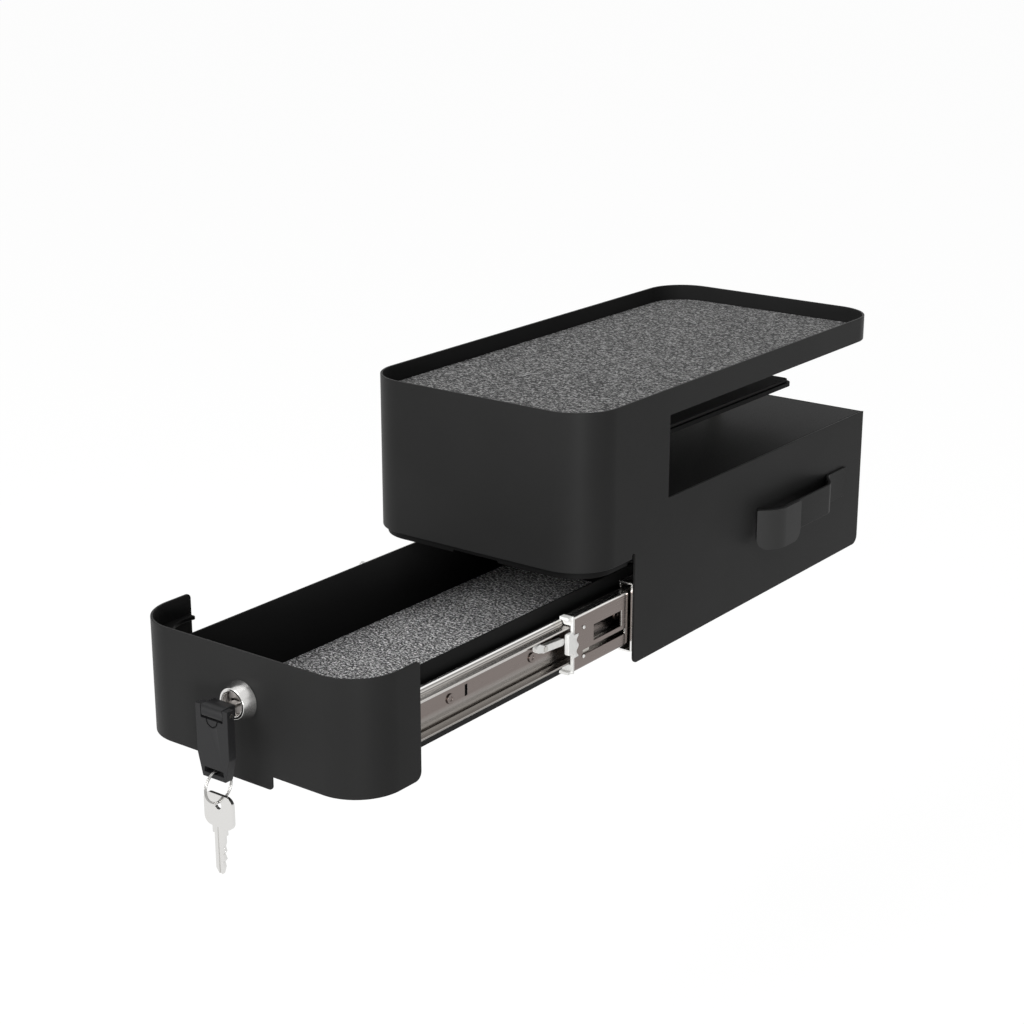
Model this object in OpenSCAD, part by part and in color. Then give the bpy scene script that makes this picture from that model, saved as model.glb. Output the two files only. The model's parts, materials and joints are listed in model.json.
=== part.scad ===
// Desktop locker: a lockable drawer cell that hangs below a desk, with a felt-lined tray above it.
// The front stands at y = 0 when the drawer is shut, x = 0 is the middle, z = 0 the cell's lower edge.
// Every solid is then moved so that the origin lies on the face that rests on the desk.

/* [Housing] */
// Overall width of the locker
body_w = 172; // [166:1:190]
// Depth of the tray on top of the desk
tray_d = 354; // [346:1:400]
// Depth of the drawer cell under the desk
cell_d = 338.5; // [335:0.5:360]
// Outer radius of the upright corners
corner_r = 29; // [24:0.5:34]
// Thickness of the housing's sheet steel
sheet_t = 1.5; // [1.2:0.1:1.8]
// Height of the cell's roof above its lower edge
cell_h = 97.9; // [94:0.1:106]
// Clear height of the slot that takes the desk top
slot_h = 52.1; // [48:0.1:58]
// Height of the tray's wall above the slot
tray_h = 16.7; // [14:0.1:24]
// Distance from the front to the closed end of the slot
slot_y = 85.9; // [80:0.1:95]
// Distance from the front to the free front edge of the side panels
panel_y = 50.1; // [50:0.1:53]
// Height of the apron's lower edge
apron_z = 68.8; // [68.8:0.1:72]
// Radius of the side panels' lower front corners
panel_r = 4; // [2:0.5:6]
// Radius of the side panels' lower back corners
panel_back_r = 6; // [2:0.5:8]

/* [Tray and desk faces] */
// Thickness of the felt mats
felt_t = 2; // [1.5:0.1:3]
// Gap between the slot's top and the tray's floor sheet
floor_rise = 2.4; // [1.5:0.1:3.5]
// How far the desk pads stand proud of the slot's top
pad_proud = 0.9; // [0.5:0.1:1.5]
// Width of a desk pad, front to back
pad_w = 16; // [10:1:24]
// Length of a desk pad, across the tray
pad_l = 120; // [80:1:130]

/* [Drawer] */
// How far the drawer stands open
drawer_out = 200.5; // [190:0.5:202]
// How far the middle slide members have come out with it
middle_out = 57.2; // [50:0.2:60]
// Height of the drawer's front panel
front_h = 68.5; // [64:0.1:68.5]
// Length of the front panel's wrapped ends
front_wrap = 46.9; // [42:0.1:47]
// Width of the finger tab below the front panel
tab_w = 40; // [30:1:60]
// Height of the finger tab
tab_h = 8.1; // [5:0.1:12]
// Thickness of the drawer box's sheet steel
box_t = 1.2; // [1:0.1:1.5]
// Distance from the housing's side to the drawer box's side
box_inset = 18.9; // [17:0.1:24]
// Height of the drawer box's sides above the cell's lower edge
box_top = 53.7; // [50:0.1:54]
// Height of the drawer box's lower edges
box_low = 5.3; // [4:0.1:7]
// Height of the drawer's floor sheet
box_floor = 9.3; // [8:0.1:12]

/* [Ball slides] */
// Length of each slide member
slide_len = 280; // [270:1:284]
// Height of the outer slide member
outer_h = 45.2; // [45:0.1:46]
// Height of the middle slide member
middle_h = 34.7; // [34.4:0.1:35]
// Height of the inner slide member
inner_h = 30.9; // [30:0.1:31.4]
// Thickness of the slides' rolled strip
strip_t = 1.2; // [1.1:0.05:1.25]
// Overall thickness of a slide across its members
slide_t = 12.7; // [12.6:0.1:13]
// Height of the slides' centre line
slide_z = 29.5; // [28:0.1:29.6]

/* [Lock and keys] */
// Height of the lock's axis
lock_z = 40.3; // [38:0.1:41]
// Diameter of the lock's bezel at the panel
bezel_d = 22.6; // [20:0.1:24]
// Diameter of the bezel's face
bezel_face_d = 17.9; // [16:0.1:18.4]
// How far the bezel stands out of the panel
bezel_out = 8; // [6:0.1:9]
// Diameter of the lock's barrel behind the panel
barrel_d = 19; // [18:0.1:19.4]
// Depth of the barrel behind the front panel's face
barrel_l = 20; // [18:0.5:24]
// Diameter of the turning plug
plug_d = 13; // [12:0.1:13.6]
// Reach of the lock's cam above the lock's axis
cam_reach = 31; // [30:0.5:33]
// Width of the folding key head
head_w = 23.4; // [21:0.1:25]
// Height of the folding key head
head_h = 41.4; // [38:0.1:46]
// Outer diameter of the key ring
ring_d = 20.2; // [18:0.1:24]
// Wire diameter of the key ring
wire_d = 1.6; // [1.2:0.1:1.8]
// Width of the spare key's bow
bow_w = 21.4; // [18:0.1:24]
// Length of the spare key
spare_l = 47.4; // [44:0.1:56]

/* [Hook] */
// Distance from the front to the hook's free end
hook_y = 192; // [150:1:200]
// Length of the hook from its free end to the end of its foot
hook_l = 123; // [112:1:130]
// Height of the hook's top edge
hook_z = 63.2; // [56:0.1:70]
// Height of the hook's strip
hook_h = 20.8; // [16:0.1:26]
// Distance from the side panel to the arm's inner face
hook_gap = 11.2; // [9:0.1:14]
// Thickness of the hook's strip
hook_t = 1.8; // [1.5:0.1:2.5]
// Length of the soft cover on the hook
cover_l = 35; // [30:1:60]
// Height of the soft cover
cover_h = 27.2; // [22:0.1:32]
// Thickness of the soft cover
cover_t = 2; // [1.5:0.1:2.5]

/* [Desk clamp] */
// Thickness of the desk top that the clamp stands ready for
desk_t = 25; // [20:1:30]
// Width of the clamp plate
clamp_w = 100; // [80:1:120]
// Distance from the clamp plate's back edge to the cell's back
clamp_rear = 38.6; // [30:0.1:60]
// Diameter of the clamp screws
screw_d = 8; // [6:0.5:10]
// Length of the clamp screws
screw_l = 40; // [36:1:42]

/* [Hidden] */
$fn = 64;

// Overrun of every cut past the face that it opens
over = 1;
// Gap left between a lining and the wall round it
lining_gap = 0.3;
// Slack between a pressed sheet and the sheet that it is fixed to
fit_gap = 0.05;
// Radial clearance of a pin, plug or screw that turns in its bore
run_gap = 0.08;

// Housing
half_w = body_w / 2;
side_in = half_w - sheet_t;
slot_top = cell_h + slot_h;
rim_z = slot_top + tray_h;
floor_low = slot_top + floor_rise;
floor_top = floor_low + sheet_t;
desk_z = slot_top - pad_proud;
relief_w = panel_y - front_wrap;
liner_bend_r = 2.5;
back_inset = 1;
pan_back = cell_d - back_inset - sheet_t;

// Desk pads: three strips, the middle one over the origin
pad_front_gap = 30;
pad_rear_gap = 40;
pad_front_y = slot_y + pad_front_gap;
pad_rear_y = tray_d - pad_rear_gap;
rest_y = (pad_front_y + pad_rear_y) / 2;

// Ceiling pan over the drawer: its front lip shows below the apron
lip_inset = 3.2;
lip_drop = 1.5;
lip_h = 15.9;
lip_notch_w = 34.4;
lip_notch_h = 1.4;
pan_z = apron_z - lip_inset;
lip_z = pan_z - lip_drop;
cam_slot_d = 10;
key_hole_d = 14;

// Slides: s runs inwards from the side panel's inner face, z from the centre line
outer_depth = 9.8;
outer_lip = 3.2;
member_gap = 1.2;
middle_s = strip_t + member_gap;
middle_web_s = middle_s + strip_t;
middle_end_s = 10.2;
inner_s = slide_t - strip_t;
bend_r = 2;
inner_front_y = 40;
inner_track_z = 11.85;
inner_lip_s = 4.8;
inner_step_s = 9.6;
inner_root_s = 11;
screw_place_shares = [0.17, 0.44, 0.75];
mark_share = 0.2215;
mark_w = 2.4;
mark_h = 6.9;
window_from = 20;
window_to = 49.3;
window_low = 3;
window_high = 7.1;
groove_from = 8.8;
groove_to = 53.3;
groove_low = 9.2;
groove_high = 5.8;

// Balls and their cages
outer_ball_d = 3.6;
inner_ball_d = 3.9;
outer_ball_s = 5.6;
inner_ball_s = 6.9;
outer_ball_z = (middle_h / 2 + outer_h / 2 - strip_t) / 2;
inner_ball_z = (middle_h / 2 - strip_t + inner_track_z) / 2;
cage_t = 0.6;
cage_l = 100;
cage_gap = 0.3;
pocket_gap = 0.1;
outer_cage_end_s = 8.2;
inner_cage_end_s = 9.2;
cage_lead = 4.75;
outer_cage_lead = 40.9;
cage_window_share = 0.125;
cage_rail = 2;
ball_count = 6;

// Stop at the front end of a middle member
stop_t = 1.6;
stop_reach_z = 18;
stop_lip = 3;
stop_gap = 0.55;

// Screws of the slides
screw_head_d = 6;
screw_head_h = 0.9;
screw_shank_d = 4;
screw_hole_gap = 0.2;
screw_thread_d = 3.3;
screw_tip = 3.5;
socket_d = 2.6;
blind_h = 1;

// Drawer front
ear_low_r = 5;
ear_top_r = 3;
tab_r = 2.5;

// Drawer box
box_overhang = 10;
box_x = half_w - box_inset;
box_back = inner_front_y + slide_len + box_overhang;
land_d = 16;
land_root_d = 22;
land_s = slide_t;

// Corner plates in the drawer's front
corner_plate_z = 55;
corner_cut_r = 23.6;
corner_cut_y = 38;
corner_cut_x = 29;
corner_plate_end = 45;
corner_plate_side = 24;

// Drawer release levers
lever_share = 0.46;
lever_l = 27.6;
lever_head_d = 5.3;
lever_head_y = 5.9;
lever_head_rise = 1.4;
lever_neck = 4.9;
lever_h = 4.4;
lever_t = 3;
lever_s = 5.6;
lever_lift = 4.8;
lever_tilt = -4;
pivot_d = 2.4;
pivot_head_d = 3.8;
pivot_head_h = 0.6;

// Lock
plug_recess = 1;
bezel_edge = 0.8;
barrel_slot_gap = 0.1;
nut_d = 26;
nut_t = 5;
cam_t = 2;
cam_w = 12;
cam_eye_d = 16;
cam_boss_d = 8;
cam_screw_d = 10;
cam_screw_h = 2.4;
driver_w = 1;
keyway_w = 8.2;
keyway_h = 2.4;
keyway_depth = 24.5;

// Folding key: its hinge lies in front of the lock's axis
pin_y = -19.8;
pin_z = lock_z;
pin_d = 2.5;
hub_r = 3.4;
head_front = -23.2;
head_t = 5.4;
head_top = lock_z + 3.2;
head_low = head_top - head_h;
head_low_w = 13.6;
head_taper_h = 13.1;
notch_w = 16.2;
notch_low = lock_z - 4.2;
block_gap = 0.3;
neck_back = -13;
crescent_r = 4.4;
crescent_depth = 1.2;
eye_w = 12.4;
eye_h = 3.1;
eye_bar = 2.6;
pin_end = 0.6;
blade_w = 7.8;
blade_t = 2;
blade_root = 4;
blade_tip = 17;
blade_chamfer = 2;
plug_face = plug_recess - bezel_out;

// Key ring and spare key
ring_r = (ring_d - wire_d) / 2;
ring_y = head_front + head_t / 2;
eye_play = 0.6;
ring_z = head_low + eye_bar + eye_play + wire_d / 2 - ring_r;
ring_turn = 12;
spare_hole_d = 5;
spare_hole_drop = 6.2;
spare_bow_h = 19.4;
spare_bow_r = 5;
spare_blade_w = 7.2;
spare_neck_w = 10;
spare_neck_h = 4;
spare_t = 2;
ring_play = 0.2;
spare_z = ring_z - ring_r - spare_hole_d / 2 + wire_d / 2 + ring_play;
bitting_x_shares = [-0.35, 0.25, 0.5, 0.7, 0.5, 1, 0.6, 1, 0.75, 1];
bitting_z_shares = [0, 0, 0.1, 0.2, 0.3, 0.4, 0.5, 0.6, 0.7, 0.8];

// Hook
hook_curl = 16;
hook_tip_gap = 1;
hook_foot = 25;
hook_joggle = 22;
hook_steps = 12;
cover_r = 8;
cover_top_r = 2;
cover_front = hook_y - hook_t - cover_t;
joggle_y = hook_y + hook_l - hook_foot - hook_joggle;
foot_y = joggle_y + hook_joggle;

// Clamp
clamp_pad_t = 2;
clamp_plate_t = 3;
clamp_back = 44;
clamp_screw_in = 20;
clamp_r = 6;
clamp_pad_in = 2;
clamp_y = slot_y + clamp_back;
clamp_d = cell_d - clamp_rear - clamp_y;
clamp_top = desk_z - desk_t;
clamp_low = clamp_top - clamp_pad_t - clamp_plate_t;
screw_ys = [clamp_y + clamp_screw_in, clamp_y + clamp_d - clamp_screw_in];
screw_gap = 0.1;
screw_way = 0.5;
pivot_tip_d = 5;
pivot_tip_h = 2.4;
hex_key = 4.6;
hex_depth = 4;
clamp_nut_d = 15;
clamp_nut_t = 7;

// Flat outlines

// Rectangle with round corners, from exact arcs
module round_rect(x0, x1, y0, y1, r) {
    translate([x0 + r, y0]) square([x1 - x0 - 2 * r, y1 - y0]);
    translate([x0, y0 + r]) square([x1 - x0, y1 - y0 - 2 * r]);
    for (x = [x0 + r, x1 - r], y = [y0 + r, y1 - r]) translate([x, y]) circle(r);
}

// Plan outline of the housing, moved inwards
module plan(inset = 0) {
    round_rect(-half_w + inset, half_w - inset, inset, tray_d - inset, corner_r - inset);
}

// Wall of the housing in plan, as thick as the sheet
module plan_wall(inset = 0, t = sheet_t) {
    difference() {
        plan(inset);
        plan(inset + t);
    }
}

// Front part of the plan wall, back to a given depth
module front_wall(depth, inset = 0, t = sheet_t) {
    intersection() {
        plan_wall(inset, t);
        translate([-half_w, 0]) square([body_w, depth]);
    }
}

// Draws a flat outline of x and z as a bar that runs from y0 to y1
module along_y(y0, y1) {
    translate([0, y1, 0]) rotate([90, 0, 0]) linear_extrude(y1 - y0) children();
}

// Draws a flat outline of y and z as a plate that runs from x0 to x1
module along_x(x0, x1) {
    translate([x0, 0, 0]) rotate([90, 0, 90]) linear_extrude(x1 - x0) children();
}

// A round bar along x, and a round or tapered one along y
module rod_x(x0, x1, d) {
    translate([x0, 0, 0]) rotate([0, 90, 0]) cylinder(h = x1 - x0, d = d);
}
module rod_y(y0, y1, d1, d2) {
    translate([0, y0, 0]) rotate([-90, 0, 0]) cylinder(h = y1 - y0, d1 = d1, d2 = d2);
}

// A box between two corners
module block(a, b) {
    translate(a) cube([b[0] - a[0], b[1] - a[1], b[2] - a[2]]);
}

// Takes a square corner off an outline; dx and dy point into the outline
module corner_cut(x, y, dx, dy, r) {
    difference() {
        translate([x - (dx > 0 ? over : r), y - (dy > 0 ? over : r)]) square([r + over, r + over]);
        translate([x + dx * r, y + dy * r]) circle(r);
    }
}

// Sets the origin on the desk's surface
module seat() {
    translate([0, -rest_y, -desk_z]) children();
}
module moved(y) {
    translate([0, -y, 0]) children();
}

// One side of the locker: 1 is the right, -1 the left, with s measured inwards
module on_side(side) {
    if (side > 0) translate([side_in, 0, slide_z]) children();
    else mirror([1, 0, 0]) translate([side_in, 0, slide_z]) children();
}

function screw_at(y0, i) = y0 + screw_place_shares[i] * slide_len;
function last(list) = len(list) - 1;

// Housing

module side_profile() {
    difference() {
        union() {
            translate([panel_y, 0]) square([cell_d - panel_y, cell_h]);
            translate([panel_y, 0]) square([slot_y - panel_y, slot_top + sheet_t]);
        }
        corner_cut(panel_y, 0, 1, 1, panel_r);
        corner_cut(cell_d, 0, -1, 1, panel_back_r);
    }
}

// Round-ended relief between the apron's lower edge and the side panels
module relief() {
    translate([panel_y - relief_w, 0]) square([relief_w, apron_z + relief_w / 2]);
    translate([panel_y - relief_w / 2, apron_z + relief_w / 2]) circle(d = relief_w);
}

module housing_shell() {
    color("#2b2b2c") seat() difference() {
        union() {
            translate([0, 0, slot_top]) linear_extrude(tray_h) plan_wall();
            translate([0, 0, apron_z]) linear_extrude(slot_top + sheet_t - apron_z) front_wall(slot_y);
            along_x(side_in, half_w) side_profile();
            along_x(-half_w, -side_in) side_profile();
        }
        along_x(side_in - over, half_w + over) relief();
        along_x(-half_w - over, -side_in + over) relief();
        for (side = [-1, 1]) on_side(side) for (i = [0 : last(screw_place_shares)])
            translate([0, screw_at(panel_y, i), 0]) rod_x(-over, blind_h, screw_shank_d + 2 * fit_gap);
    }
}

// Roof of the cell, folded up at the front as the stop for the desk's edge
module slot_liner() {
    color("#252526") seat() difference() {
        along_x(-side_in, side_in) difference() {
            translate([slot_y - sheet_t, cell_h - sheet_t])
                square([pan_back - slot_y + sheet_t, floor_low - cell_h + sheet_t]);
            translate([slot_y, cell_h]) square([pan_back - slot_y + over, floor_low - cell_h + over]);
            corner_cut(slot_y - sheet_t, cell_h - sheet_t, 1, 1, liner_bend_r);
        }
        for (y = screw_ys) translate([0, y, cell_h - sheet_t - over])
            cylinder(h = sheet_t + 2 * over, d = screw_d + 2 * screw_way);
    }
}

module tray_floor() {
    color("#252526") seat() translate([0, 0, floor_low]) linear_extrude(sheet_t) plan(sheet_t);
}

module tray_mat() {
    color("#6f6f70") seat() translate([0, 0, floor_top]) linear_extrude(felt_t) plan(sheet_t + lining_gap);
}

module desk_pads() {
    color("#1c1c1c") seat() for (y = [pad_front_y, rest_y, pad_rear_y])
        translate([0, 0, desk_z]) linear_extrude(floor_low - desk_z)
            round_rect(-pad_l / 2, pad_l / 2, y - pad_w / 2, y + pad_w / 2, pad_w / 4);
}

// Pan above the drawer, with a lip that follows the front and a slot for the lock's cam
module ceiling_pan() {
    cam_y = barrel_l + cam_t;
    color("#202021") seat() difference() {
        union() {
            translate([0, 0, pan_z]) linear_extrude(sheet_t) intersection() {
                plan(lip_inset);
                translate([-half_w, 0]) square([body_w, panel_y]);
            }
            translate([0, 0, lip_z]) linear_extrude(lip_h) front_wall(front_wrap, lip_inset);
            block([-side_in, panel_y - sheet_t, pan_z], [side_in, pan_back, pan_z + sheet_t]);
            for (x = [-side_in, side_in - sheet_t])
                block([x, panel_y, pan_z], [x + sheet_t, pan_back, lip_z + lip_h]);
        }
        block([-lip_notch_w / 2, 0, lip_z - over],
            [lip_notch_w / 2, lip_inset + sheet_t + over, lip_z + lip_notch_h]);
        block([-lip_notch_w / 2, cam_y - cam_slot_d / 2, pan_z - over],
            [lip_notch_w / 2, cam_y + cam_slot_d / 2, pan_z + sheet_t + over]);
        for (y = screw_ys) translate([0, y, pan_z - over]) cylinder(h = sheet_t + 2 * over, d = key_hole_d);
    }
}

module back_panel() {
    color("#252526") seat() block([-side_in, pan_back, 0], [side_in, pan_back + sheet_t, cell_h]);
}

// Slides

// Channel outline in s and z, open towards the drawer, with round outer bends
module channel(s0, s1, h) {
    difference() {
        translate([-s1, -h / 2]) square([s1 - s0, h]);
        translate([-s1 - over, -h / 2 + strip_t]) square([s1 - s0 + over - strip_t, h - 2 * strip_t]);
        corner_cut(-s0, -h / 2, -1, 1, bend_r);
        corner_cut(-s0, h / 2, -1, -1, bend_r);
    }
}

module outer_section() {
    lip = outer_lip + strip_t;
    channel(0, outer_depth, outer_h);
    translate([-outer_depth, outer_h / 2 - lip]) square([strip_t, lip]);
    translate([-outer_depth, -outer_h / 2]) square([strip_t, lip]);
}

// Inner member: a web on the drawer's side and two stepped flanges that carry the balls
function inner_half(m) = [[-slide_t, m * inner_h / 2], [-inner_root_s, m * inner_h / 2],
    [-inner_step_s, m * inner_track_z], [-inner_lip_s, m * inner_track_z],
    [-inner_lip_s, m * (inner_track_z - strip_t)],
    [-inner_step_s - strip_t / 2, m * (inner_track_z - strip_t)],
    [-inner_s, m * (inner_h / 2 - 2 * strip_t)]];
module inner_section() {
    top = inner_half(1);
    low = inner_half(-1);
    polygon(concat(top, [for (i = [last(low) : -1 : 0]) low[i]]));
}

// Countersink of the screws that hold the outer members
module screw_cone() {
    translate([-strip_t, 0, 0]) rotate([0, 90, 0])
        cylinder(h = strip_t, d1 = screw_shank_d + 2 * strip_t, d2 = screw_shank_d);
}

module slide_outer(side) {
    color("#c9c7c3") seat() on_side(side) difference() {
        along_y(panel_y, panel_y + slide_len) outer_section();
        for (i = [0 : last(screw_place_shares)]) translate([0, screw_at(panel_y, i), 0]) {
            rod_x(-strip_t - over, over, screw_shank_d);
            screw_cone();
        }
    }
}

module slide_screws() {
    color("#a8a6a2") seat() for (side = [-1, 1]) on_side(side) for (i = [0 : last(screw_place_shares)])
        translate([0, screw_at(panel_y, i), 0]) {
            screw_cone();
            rod_x(-strip_t, blind_h - fit_gap, screw_shank_d);
        }
}

module slide_middle(side) {
    y0 = panel_y;
    y1 = panel_y + slide_len;
    color("#8d8580") seat() moved(middle_out) on_side(side) difference() {
        along_y(y0, y1) channel(middle_s, middle_end_s, middle_h);
        block([-middle_web_s - over, y0 + window_from, -window_low],
            [-middle_s + over, y0 + window_to, window_high]);
        block([-middle_web_s - over, y1 - window_to, -window_low],
            [-middle_s + over, y1 - window_from, window_high]);
        block([-middle_web_s - over, y0 + groove_from, -groove_low],
            [-middle_s + over, y0 + groove_to, -groove_high]);
    }
}

// Outline that the inner member needs free as it passes through the stop
function stop_half(m) = [[-inner_root_s, m * (inner_h / 2 + stop_gap)],
    [-inner_step_s + stop_gap, m * (inner_track_z + stop_gap)],
    [-inner_lip_s + stop_gap, m * (inner_track_z + stop_gap)]];

// Moulded stop at the front end of a middle member
module slide_stop(side) {
    y1 = panel_y;
    y0 = y1 - stop_t;
    low = stop_half(-1);
    color("#d5d5d2") seat() moved(middle_out) on_side(side) {
        along_y(y0, y1) difference() {
            translate([-middle_end_s, -stop_reach_z]) square([middle_end_s - middle_s, 2 * stop_reach_z]);
            polygon(concat(stop_half(1), [for (i = [last(low) : -1 : 0]) low[i]]));
        }
        for (m = [-1, 1])
            block([-middle_end_s, y0 - stop_lip, m > 0 ? middle_h / 2 - strip_t : -stop_reach_z],
                [-middle_web_s, y0, m > 0 ? stop_reach_z : -middle_h / 2 + strip_t]);
    }
}

function ball_place(i) = cage_l * (i + 0.5) / ball_count;

// Cage strip with pockets for its balls
module ball_cage(s0, s1, z, d, s_ball) {
    difference() {
        union() {
            block([-s0 - cage_t, 0, -z - cage_t / 2], [-s0, cage_l, z + cage_t / 2]);
            block([-s1, 0, z - cage_t / 2], [-s0, cage_l, z + cage_t / 2]);
            block([-s1, 0, -z - cage_t / 2], [-s0, cage_l, -z + cage_t / 2]);
        }
        block([-s0 - cage_t - over, cage_l * cage_window_share, -z + cage_rail],
            [-s0 + over, cage_l * (1 - cage_window_share), z - cage_rail]);
        for (i = [0 : ball_count - 1], m = [-1, 1]) translate([-s_ball, ball_place(i), m * z - cage_t])
            cylinder(h = 2 * cage_t, d = d + 2 * pocket_gap);
    }
}

module ball_rows(z, d, s_ball) {
    for (i = [0 : ball_count - 1], m = [-1, 1]) translate([-s_ball, ball_place(i), m * z]) sphere(d = d);
}

module at_outer_cage() {
    translate([0, panel_y + outer_cage_lead, 0]) children();
}
module at_inner_cage() {
    translate([0, panel_y + cage_lead - middle_out, 0]) children();
}

module ball_cage_outer(side) {
    color("#b9b6b0") seat() on_side(side) at_outer_cage()
        ball_cage(strip_t + cage_gap, outer_cage_end_s, outer_ball_z, outer_ball_d, outer_ball_s);
}

module outer_balls() {
    color("#e2e0dc") seat() for (side = [-1, 1]) on_side(side) at_outer_cage()
        ball_rows(outer_ball_z, outer_ball_d, outer_ball_s);
}

module ball_cage_inner(side) {
    color("#b9b6b0") seat() on_side(side) at_inner_cage()
        ball_cage(middle_web_s + cage_gap, inner_cage_end_s, inner_ball_z, inner_ball_d, inner_ball_s);
}

module inner_balls() {
    color("#e2e0dc") seat() for (side = [-1, 1]) on_side(side) at_inner_cage()
        ball_rows(inner_ball_z, inner_ball_d, inner_ball_s);
}

module at_lever() {
    translate([-lever_s, inner_front_y + lever_share * slide_len, lever_lift]) children();
}

module slide_inner(side) {
    y0 = inner_front_y;
    mark_y = y0 + mark_share * slide_len;
    color("#7a706c") seat() moved(drawer_out) on_side(side) difference() {
        along_y(y0, y0 + slide_len) inner_section();
        for (i = [0 : last(screw_place_shares)]) translate([0, screw_at(y0, i), 0])
            rod_x(-slide_t - over, -inner_s + over, screw_shank_d + 2 * screw_hole_gap);
        block([-slide_t - over, mark_y - mark_w / 2, -window_low],
            [-inner_s + over, mark_y + mark_w / 2, mark_h - window_low]);
        at_lever() rod_x(lever_s - slide_t - over, lever_s - inner_s + over, pivot_d);
    }
}

// Lever that frees the drawer from its slide: a round head, a neck and an arm
module lever_outline() {
    arm_y = lever_neck - lever_head_y;
    end_y = lever_l - lever_head_y - lever_head_d / 2 - lever_h / 2;
    translate([-lever_head_y, lever_head_rise]) circle(d = lever_head_d);
    polygon([[-lever_head_y, lever_head_rise - lever_head_d / 2], [arm_y, -lever_h / 2],
        [arm_y, lever_h / 2], [-lever_head_y, lever_head_rise + lever_head_d / 2]]);
    translate([arm_y - over, -lever_h / 2]) square([end_y - arm_y + over, lever_h]);
    translate([end_y, 0]) circle(d = lever_h);
}

module release_lever(side) {
    color("#d5d5d2") seat() moved(drawer_out) on_side(side) at_lever()
        rotate([lever_tilt, 0, 0]) difference() {
            along_x(-lever_t, 0) lever_outline();
            rod_x(-lever_t - over, over, pivot_d + 2 * run_gap);
        }
}

module lever_rivets() {
    color("#b9b6b0") seat() moved(drawer_out) for (side = [-1, 1]) on_side(side) at_lever() {
        rod_x(lever_s - slide_t, fit_gap + pivot_head_h, pivot_d);
        rod_x(fit_gap, fit_gap + pivot_head_h, pivot_head_d);
        rod_x(lever_s - inner_s, -lever_t - fit_gap, pivot_head_d);
    }
}

// Drawer

module ear_corners() {
    corner_cut(front_wrap, 0, -1, 1, ear_low_r);
    corner_cut(front_wrap, front_h, -1, -1, ear_top_r);
}

module drawer_front() {
    hole_d = barrel_d + 2 * barrel_slot_gap;
    color("#2b2b2c") seat() moved(drawer_out) difference() {
        union() {
            linear_extrude(front_h) front_wall(front_wrap);
            along_y(0, sheet_t) translate([-tab_w / 2, -tab_h]) square([tab_w, tab_h + over]);
        }
        along_x(side_in - over, half_w + over) ear_corners();
        along_x(-half_w - over, -side_in + over) ear_corners();
        along_y(-over, sheet_t + over) {
            corner_cut(-tab_w / 2, -tab_h, 1, 1, tab_r);
            corner_cut(tab_w / 2, -tab_h, -1, 1, tab_r);
        }
        translate([0, 0, lock_z]) rod_y(-over, sheet_t + over, hole_d, hole_d);
    }
}

// Folded box with pressed lands that reach the slides
module drawer_box() {
    land_x = side_in - box_x;
    color("#202021") seat() moved(drawer_out) difference() {
        intersection() {
            translate([0, 0, box_low]) linear_extrude(box_top - box_low) intersection() {
                plan(sheet_t + fit_gap);
                translate([-half_w, 0]) square([body_w, box_back]);
            }
            union() {
                for (x = [-box_x, box_x - box_t]) block([x, 0, box_low], [x + box_t, box_back, box_top]);
                block([-box_x, 0, box_floor], [box_x, box_back, box_floor + box_t]);
                block([-box_x, box_back - box_t, box_low], [box_x, box_back, box_top]);
                for (side = [-1, 1]) on_side(side) for (i = [0 : last(screw_place_shares)])
                    translate([-land_x - box_t / 2, screw_at(inner_front_y, i), 0]) rotate([0, 90, 0])
                        cylinder(h = land_x + box_t / 2 - land_s, d1 = land_root_d, d2 = land_d);
            }
        }
        for (side = [-1, 1]) on_side(side) for (i = [0 : last(screw_place_shares)])
            translate([0, screw_at(inner_front_y, i), 0])
                rod_x(-land_s - screw_tip - fit_gap, -land_s + over, screw_thread_d + 2 * fit_gap);
    }
}

module drawer_mat() {
    x = box_x - box_t - lining_gap;
    color("#6f6f70") seat() moved(drawer_out) translate([0, 0, box_floor + box_t]) linear_extrude(felt_t)
        intersection() {
            plan(sheet_t + lining_gap);
            translate([-x, 0]) square([2 * x, box_back - box_t - lining_gap]);
        }
}

// Plate that stiffens a front corner, cut back to a concave edge
module corner_plate(side) {
    color("#252526") seat() moved(drawer_out) mirror([side > 0 ? 0 : 1, 0, 0])
        translate([0, 0, corner_plate_z]) linear_extrude(sheet_t) difference() {
            intersection() {
                plan(sheet_t);
                translate([half_w - corner_plate_side, 0]) square([corner_plate_side, corner_plate_end]);
            }
            translate([half_w - corner_cut_x, corner_cut_y]) circle(corner_cut_r);
        }
}

module drawer_screws() {
    color("#b9b6b0") seat() moved(drawer_out) for (side = [-1, 1]) on_side(side)
        for (i = [0 : last(screw_place_shares)])
            translate([-inner_s, screw_at(inner_front_y, i), 0]) difference() {
                union() {
                    rod_x(-strip_t - screw_tip, 0, screw_thread_d);
                    rod_x(0, screw_head_h, screw_head_d);
                }
                rod_x(screw_head_h / 2, screw_head_h + over, socket_d);
            }
}

// Lock

module at_lock() {
    seat() moved(drawer_out) translate([0, 0, lock_z]) children();
}

module lock_body() {
    bore_d = plug_d + 2 * run_gap;
    color("#c8c8c6") at_lock() difference() {
        union() {
            rod_y(bezel_edge - bezel_out, 0, bezel_face_d, bezel_d);
            rod_y(-bezel_out, bezel_edge - bezel_out, bezel_face_d - bezel_edge, bezel_face_d);
            rod_y(0, barrel_l, barrel_d, barrel_d);
        }
        rod_y(-bezel_out - over, barrel_l + over, bore_d, bore_d);
    }
}

module lock_nut() {
    color("#a8a6a2") at_lock() difference() {
        translate([0, sheet_t, 0]) rotate([-90, 0, 0]) cylinder(h = nut_t, d = nut_d, $fn = 6);
        rod_y(0, sheet_t + nut_t + over, barrel_d + 2 * fit_gap, barrel_d + 2 * fit_gap);
    }
}

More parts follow.
